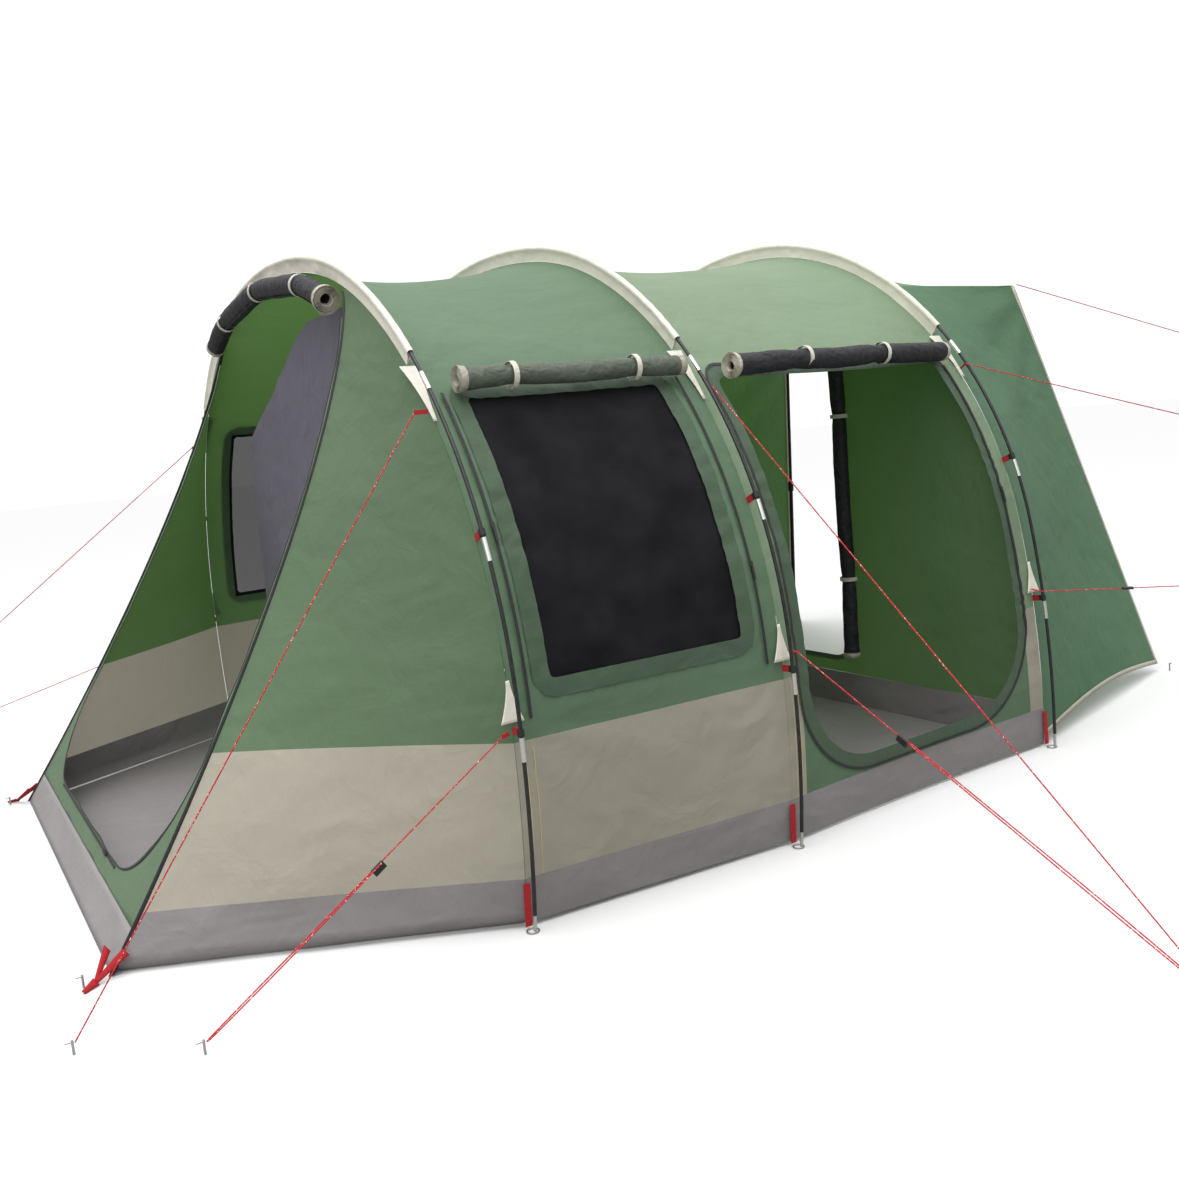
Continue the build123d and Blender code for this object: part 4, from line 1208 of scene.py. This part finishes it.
def cord_curve(name, points, diameter):
    """A braided cord through the points."""
    data = bpy.data.curves.new(name, "CURVE")
    data.dimensions = "3D"
    data.bevel_depth = diameter / 2
    data.bevel_resolution = 3
    spline = data.splines.new("NURBS")
    spline.points.add(len(points) - 1)
    for at, point in zip(spline.points, points):
        at.co = (*point, 1.0)
    spline.order_u = 3
    spline.use_endpoint_u = True
    data.materials.append(rope())
    made = bpy.data.objects.new(name, data)
    bpy.context.scene.collection.objects.link(made)
    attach(made, "tent")
    return made


class TENT_OT_guylines(bpy.types.Operator):
    """Guylines with their loops, runners, tabs and pegs"""
    bl_idname = "tent.guylines"
    bl_label = "Guylines"

    def execute(self, context):
        thick = sizes().cord
        for key, (start, end, runner) in GUYS.items():
            start, end = Vector(start), Vector(end)
            along = (end - start).normalized()
            side = along.cross(Vector((0, 0, 1))).normalized()
            if key in OPEN_LINES:
                loop = [end + along * 0.018 * (1 - cos(turn)) + side * 0.012 * sin(turn)
                        for turn in LOOP_TURNS]
                points = [start, start.lerp(end, 0.5), end - along * 0.03, *loop,
                          end - along * 0.012 - side * 0.005]
            elif runner:
                turn = start + along * runner
                points = [start, start.lerp(end, 0.5), end - along * 0.02 + side * 0.004, end + along * 0.004,
                          end - along * 0.02 - side * 0.006, end.lerp(turn, 0.5) - side * 0.010,
                          turn - along * 0.012 - side * 0.006]
            else:
                points = [start, start.lerp(end, 0.5), end]
            made = cord_curve(f"line_{key}", points, thick)
            long = sum((b - a).length for a, b in zip(points, points[1:]))
            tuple(start)
            for node, owner in CAD_LINES.items():
                if owner == key:
                    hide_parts(node)
        for node in ("guyline_runner_front", "guyline_runner_middle", "guyline_runner_rear"):
            paint(node, plastic())
        paint("guyline_tabs", webbing("red"))
        paint("ground_pegs", metal("peg_steel", (0.62, 0.62, 0.63), 0.3))
        return {"FINISHED"}


class TENT_OT_fittings(bpy.types.Operator):
    """Finishes of the poles, ferrules, clips, straps, zips and pulls"""
    bl_idname = "tent.fittings"
    bl_label = "Fittings"

    def execute(self, context):
        for node in ("hoop_front_pole", "hoop_middle_pole", "hoop_rear_pole"):
            paint(node, pole_finish())
        for node in ("pole_ferrules", "pole_tips"):
            paint(node, metal("ferrule", (0.80, 0.79, 0.76), 0.25))
        paint("foot_ring_pins", metal("ring_pin", (0.50, 0.50, 0.51), 0.3))
        for node in ("canopy_pole_lower_near", "canopy_pole_lower_far", "canopy_pole_upper_near",
                     "canopy_pole_upper_far"):
            paint(node, plastic("black", 1.2, 0.3))
        for node in ("pole_clips", "canopy_pole_clamps", "canopy_pole_feet"):
            paint(node, plastic())
        for node in ("clip_webbing", "foot_straps"):
            paint(node, webbing("red"))
        for node in ("zip_slider_window_front", "zip_slider_window_rear", "zip_slider_side_door",
                     "zip_slider_front_door"):
            paint(node, plastic("black", 1.5))
        paint("front_door_zip", zip_tape())
        paint("groundsheet", cloth("skirt", 1.1, 0.0))
        return {"FINISHED"}


SKY_STRENGTH = 0.26, 1.65    # at the horizon and overhead


# Lights: name, place, what it looks at, power in watts, side of its square
LIGHTS = (("key", (-1.5, -2.0, 7.5), (0, 0, 0.5), 290, 7.0),
          ("fill", (-6.0, -5.0, 3.5), (0, 0, 0.8), 60, 5.0))
FLOOR_HALF = 60
CAMERA_AT = -2.110, -3.992, 1.2665
CAMERA_RIGHT = 0.8440, -0.5283, -0.0923
CAMERA_UP = 0.1518, 0.0701, 0.9859
CAMERA_BACK = -0.5144, -0.8461, 0.1393
CAMERA_LENS = 34.35
CAMERA_SENSOR = 36


class TENT_OT_stage(bpy.types.Operator):
    """Pale floor, soft studio light and the camera"""
    bl_idname = "tent.stage"
    bl_label = "Stage"

    def execute(self, context):
        bm = bmesh.new()
        bmesh.ops.create_grid(bm, x_segments=2, y_segments=2, size=FLOOR_HALF)
        mesh = bpy.data.meshes.new("floor")
        bm.to_mesh(mesh)
        bm.free()
        floor = bpy.data.objects.new("floor", mesh)
        floor.location.z = -0.001
        shade = Shade("floor")
        shade.surface(Base_Color=(0.82, 0.82, 0.82, 1), Roughness=1.0, Specular_IOR_Level=0.0)
        dim = shade.node("ShaderNodeBsdfDiffuse", {"Color": (0.35, 0.35, 0.34, 1)})
        seen = shade.node("ShaderNodeLightPath").outputs["Is Camera Ray"]
        both = shade.node("ShaderNodeMixShader", {0: seen, 1: dim.outputs[0], 2: shade.last})
        shade.feed(shade.out.inputs[0], both.outputs[0])
        mesh.materials.append(shade.material)
        bpy.context.scene.collection.objects.link(floor)
        for name, place, aim, power, size in LIGHTS:
            lamp = bpy.data.lights.new(name, "AREA")
            lamp.energy = power
            lamp.size = size
            holder = bpy.data.objects.new(name, lamp)
            holder.location = place
            holder.rotation_euler = (Vector(aim) - Vector(place)).to_track_quat("-Z", "Y").to_euler()
            bpy.context.scene.collection.objects.link(holder)
        self.backdrop()
        bpy.context.scene.view_settings.view_transform = "Standard"
        self.camera()
        return {"FINISHED"}

    def backdrop(self):
        """White behind the tent, while the sky lights it more softly."""
        world = bpy.data.worlds.new("studio")
        world.use_nodes = True
        nodes, links = world.node_tree.nodes, world.node_tree.links
        seen = nodes.new("ShaderNodeLightPath")
        split = nodes.new("ShaderNodeSeparateXYZ")
        links.new(nodes.new("ShaderNodeTexCoord").outputs["Generated"], split.inputs[0])
        sky = nodes.new("ShaderNodeMapRange")
        sky.inputs["To Min"].default_value, sky.inputs["To Max"].default_value = SKY_STRENGTH
        links.new(split.outputs["Z"], sky.inputs["Value"])
        strength = nodes.new("ShaderNodeMix")
        links.new(seen.outputs["Is Camera Ray"], strength.inputs[0])
        links.new(sky.outputs[0], strength.inputs[2])
        strength.inputs[3].default_value = 1.1
        links.new(strength.outputs[0], nodes["Background"].inputs["Strength"])
        nodes["Background"].inputs["Color"].default_value = (1, 1, 1, 1)
        bpy.context.scene.world = world

    def camera(self):
        eye = bpy.data.cameras.new("camera")
        eye.sensor_width = CAMERA_SENSOR
        eye.lens = CAMERA_LENS
        camera = bpy.data.objects.new("camera", eye)
        turn = Matrix((CAMERA_RIGHT, CAMERA_UP, CAMERA_BACK)).transposed().to_4x4()
        camera.matrix_world = Matrix.Translation(CAMERA_AT) @ turn
        bpy.context.scene.collection.objects.link(camera)
        bpy.context.scene.camera = camera


OPERATORS = (TENT_OT_bays, TENT_OT_sleeves, TENT_OT_porch, TENT_OT_front_door, TENT_OT_windows,
             TENT_OT_side_door, TENT_OT_rear_wall, TENT_OT_inner, TENT_OT_canopy, TENT_OT_guylines,
             TENT_OT_fittings, TENT_OT_stage)


class TENT_PT_panel(bpy.types.Panel):
    """Sidebar panel of the tent"""
    bl_idname = "TENT_PT_panel"
    bl_label = "Tunnel tent"
    bl_space_type = "VIEW_3D"
    bl_region_type = "UI"
    bl_category = "Tent"

    def draw(self, context):
        for group in (context.scene.tent_colours, context.scene.tent_sizes):
            for name in group.__annotations__:
                self.layout.prop(group, name)
        for operator in OPERATORS:
            self.layout.operator(operator.bl_idname)


CLASSES = (TentColours, TentSizes, *OPERATORS, TENT_PT_panel)


def register():
    for cls in CLASSES:
        bpy.utils.register_class(cls)
    bpy.types.Scene.tent_colours = bpy.props.PointerProperty(type=TentColours)
    bpy.types.Scene.tent_sizes = bpy.props.PointerProperty(type=TentSizes)


def unregister():
    del bpy.types.Scene.tent_sizes
    del bpy.types.Scene.tent_colours
    for cls in reversed(CLASSES):
        bpy.utils.unregister_class(cls)


def main():
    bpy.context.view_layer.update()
    register()
    for operator in OPERATORS:
        group, name = operator.bl_idname.split(".")
        getattr(getattr(bpy.ops, group), name)()


if __name__ == "__main__":
    main()
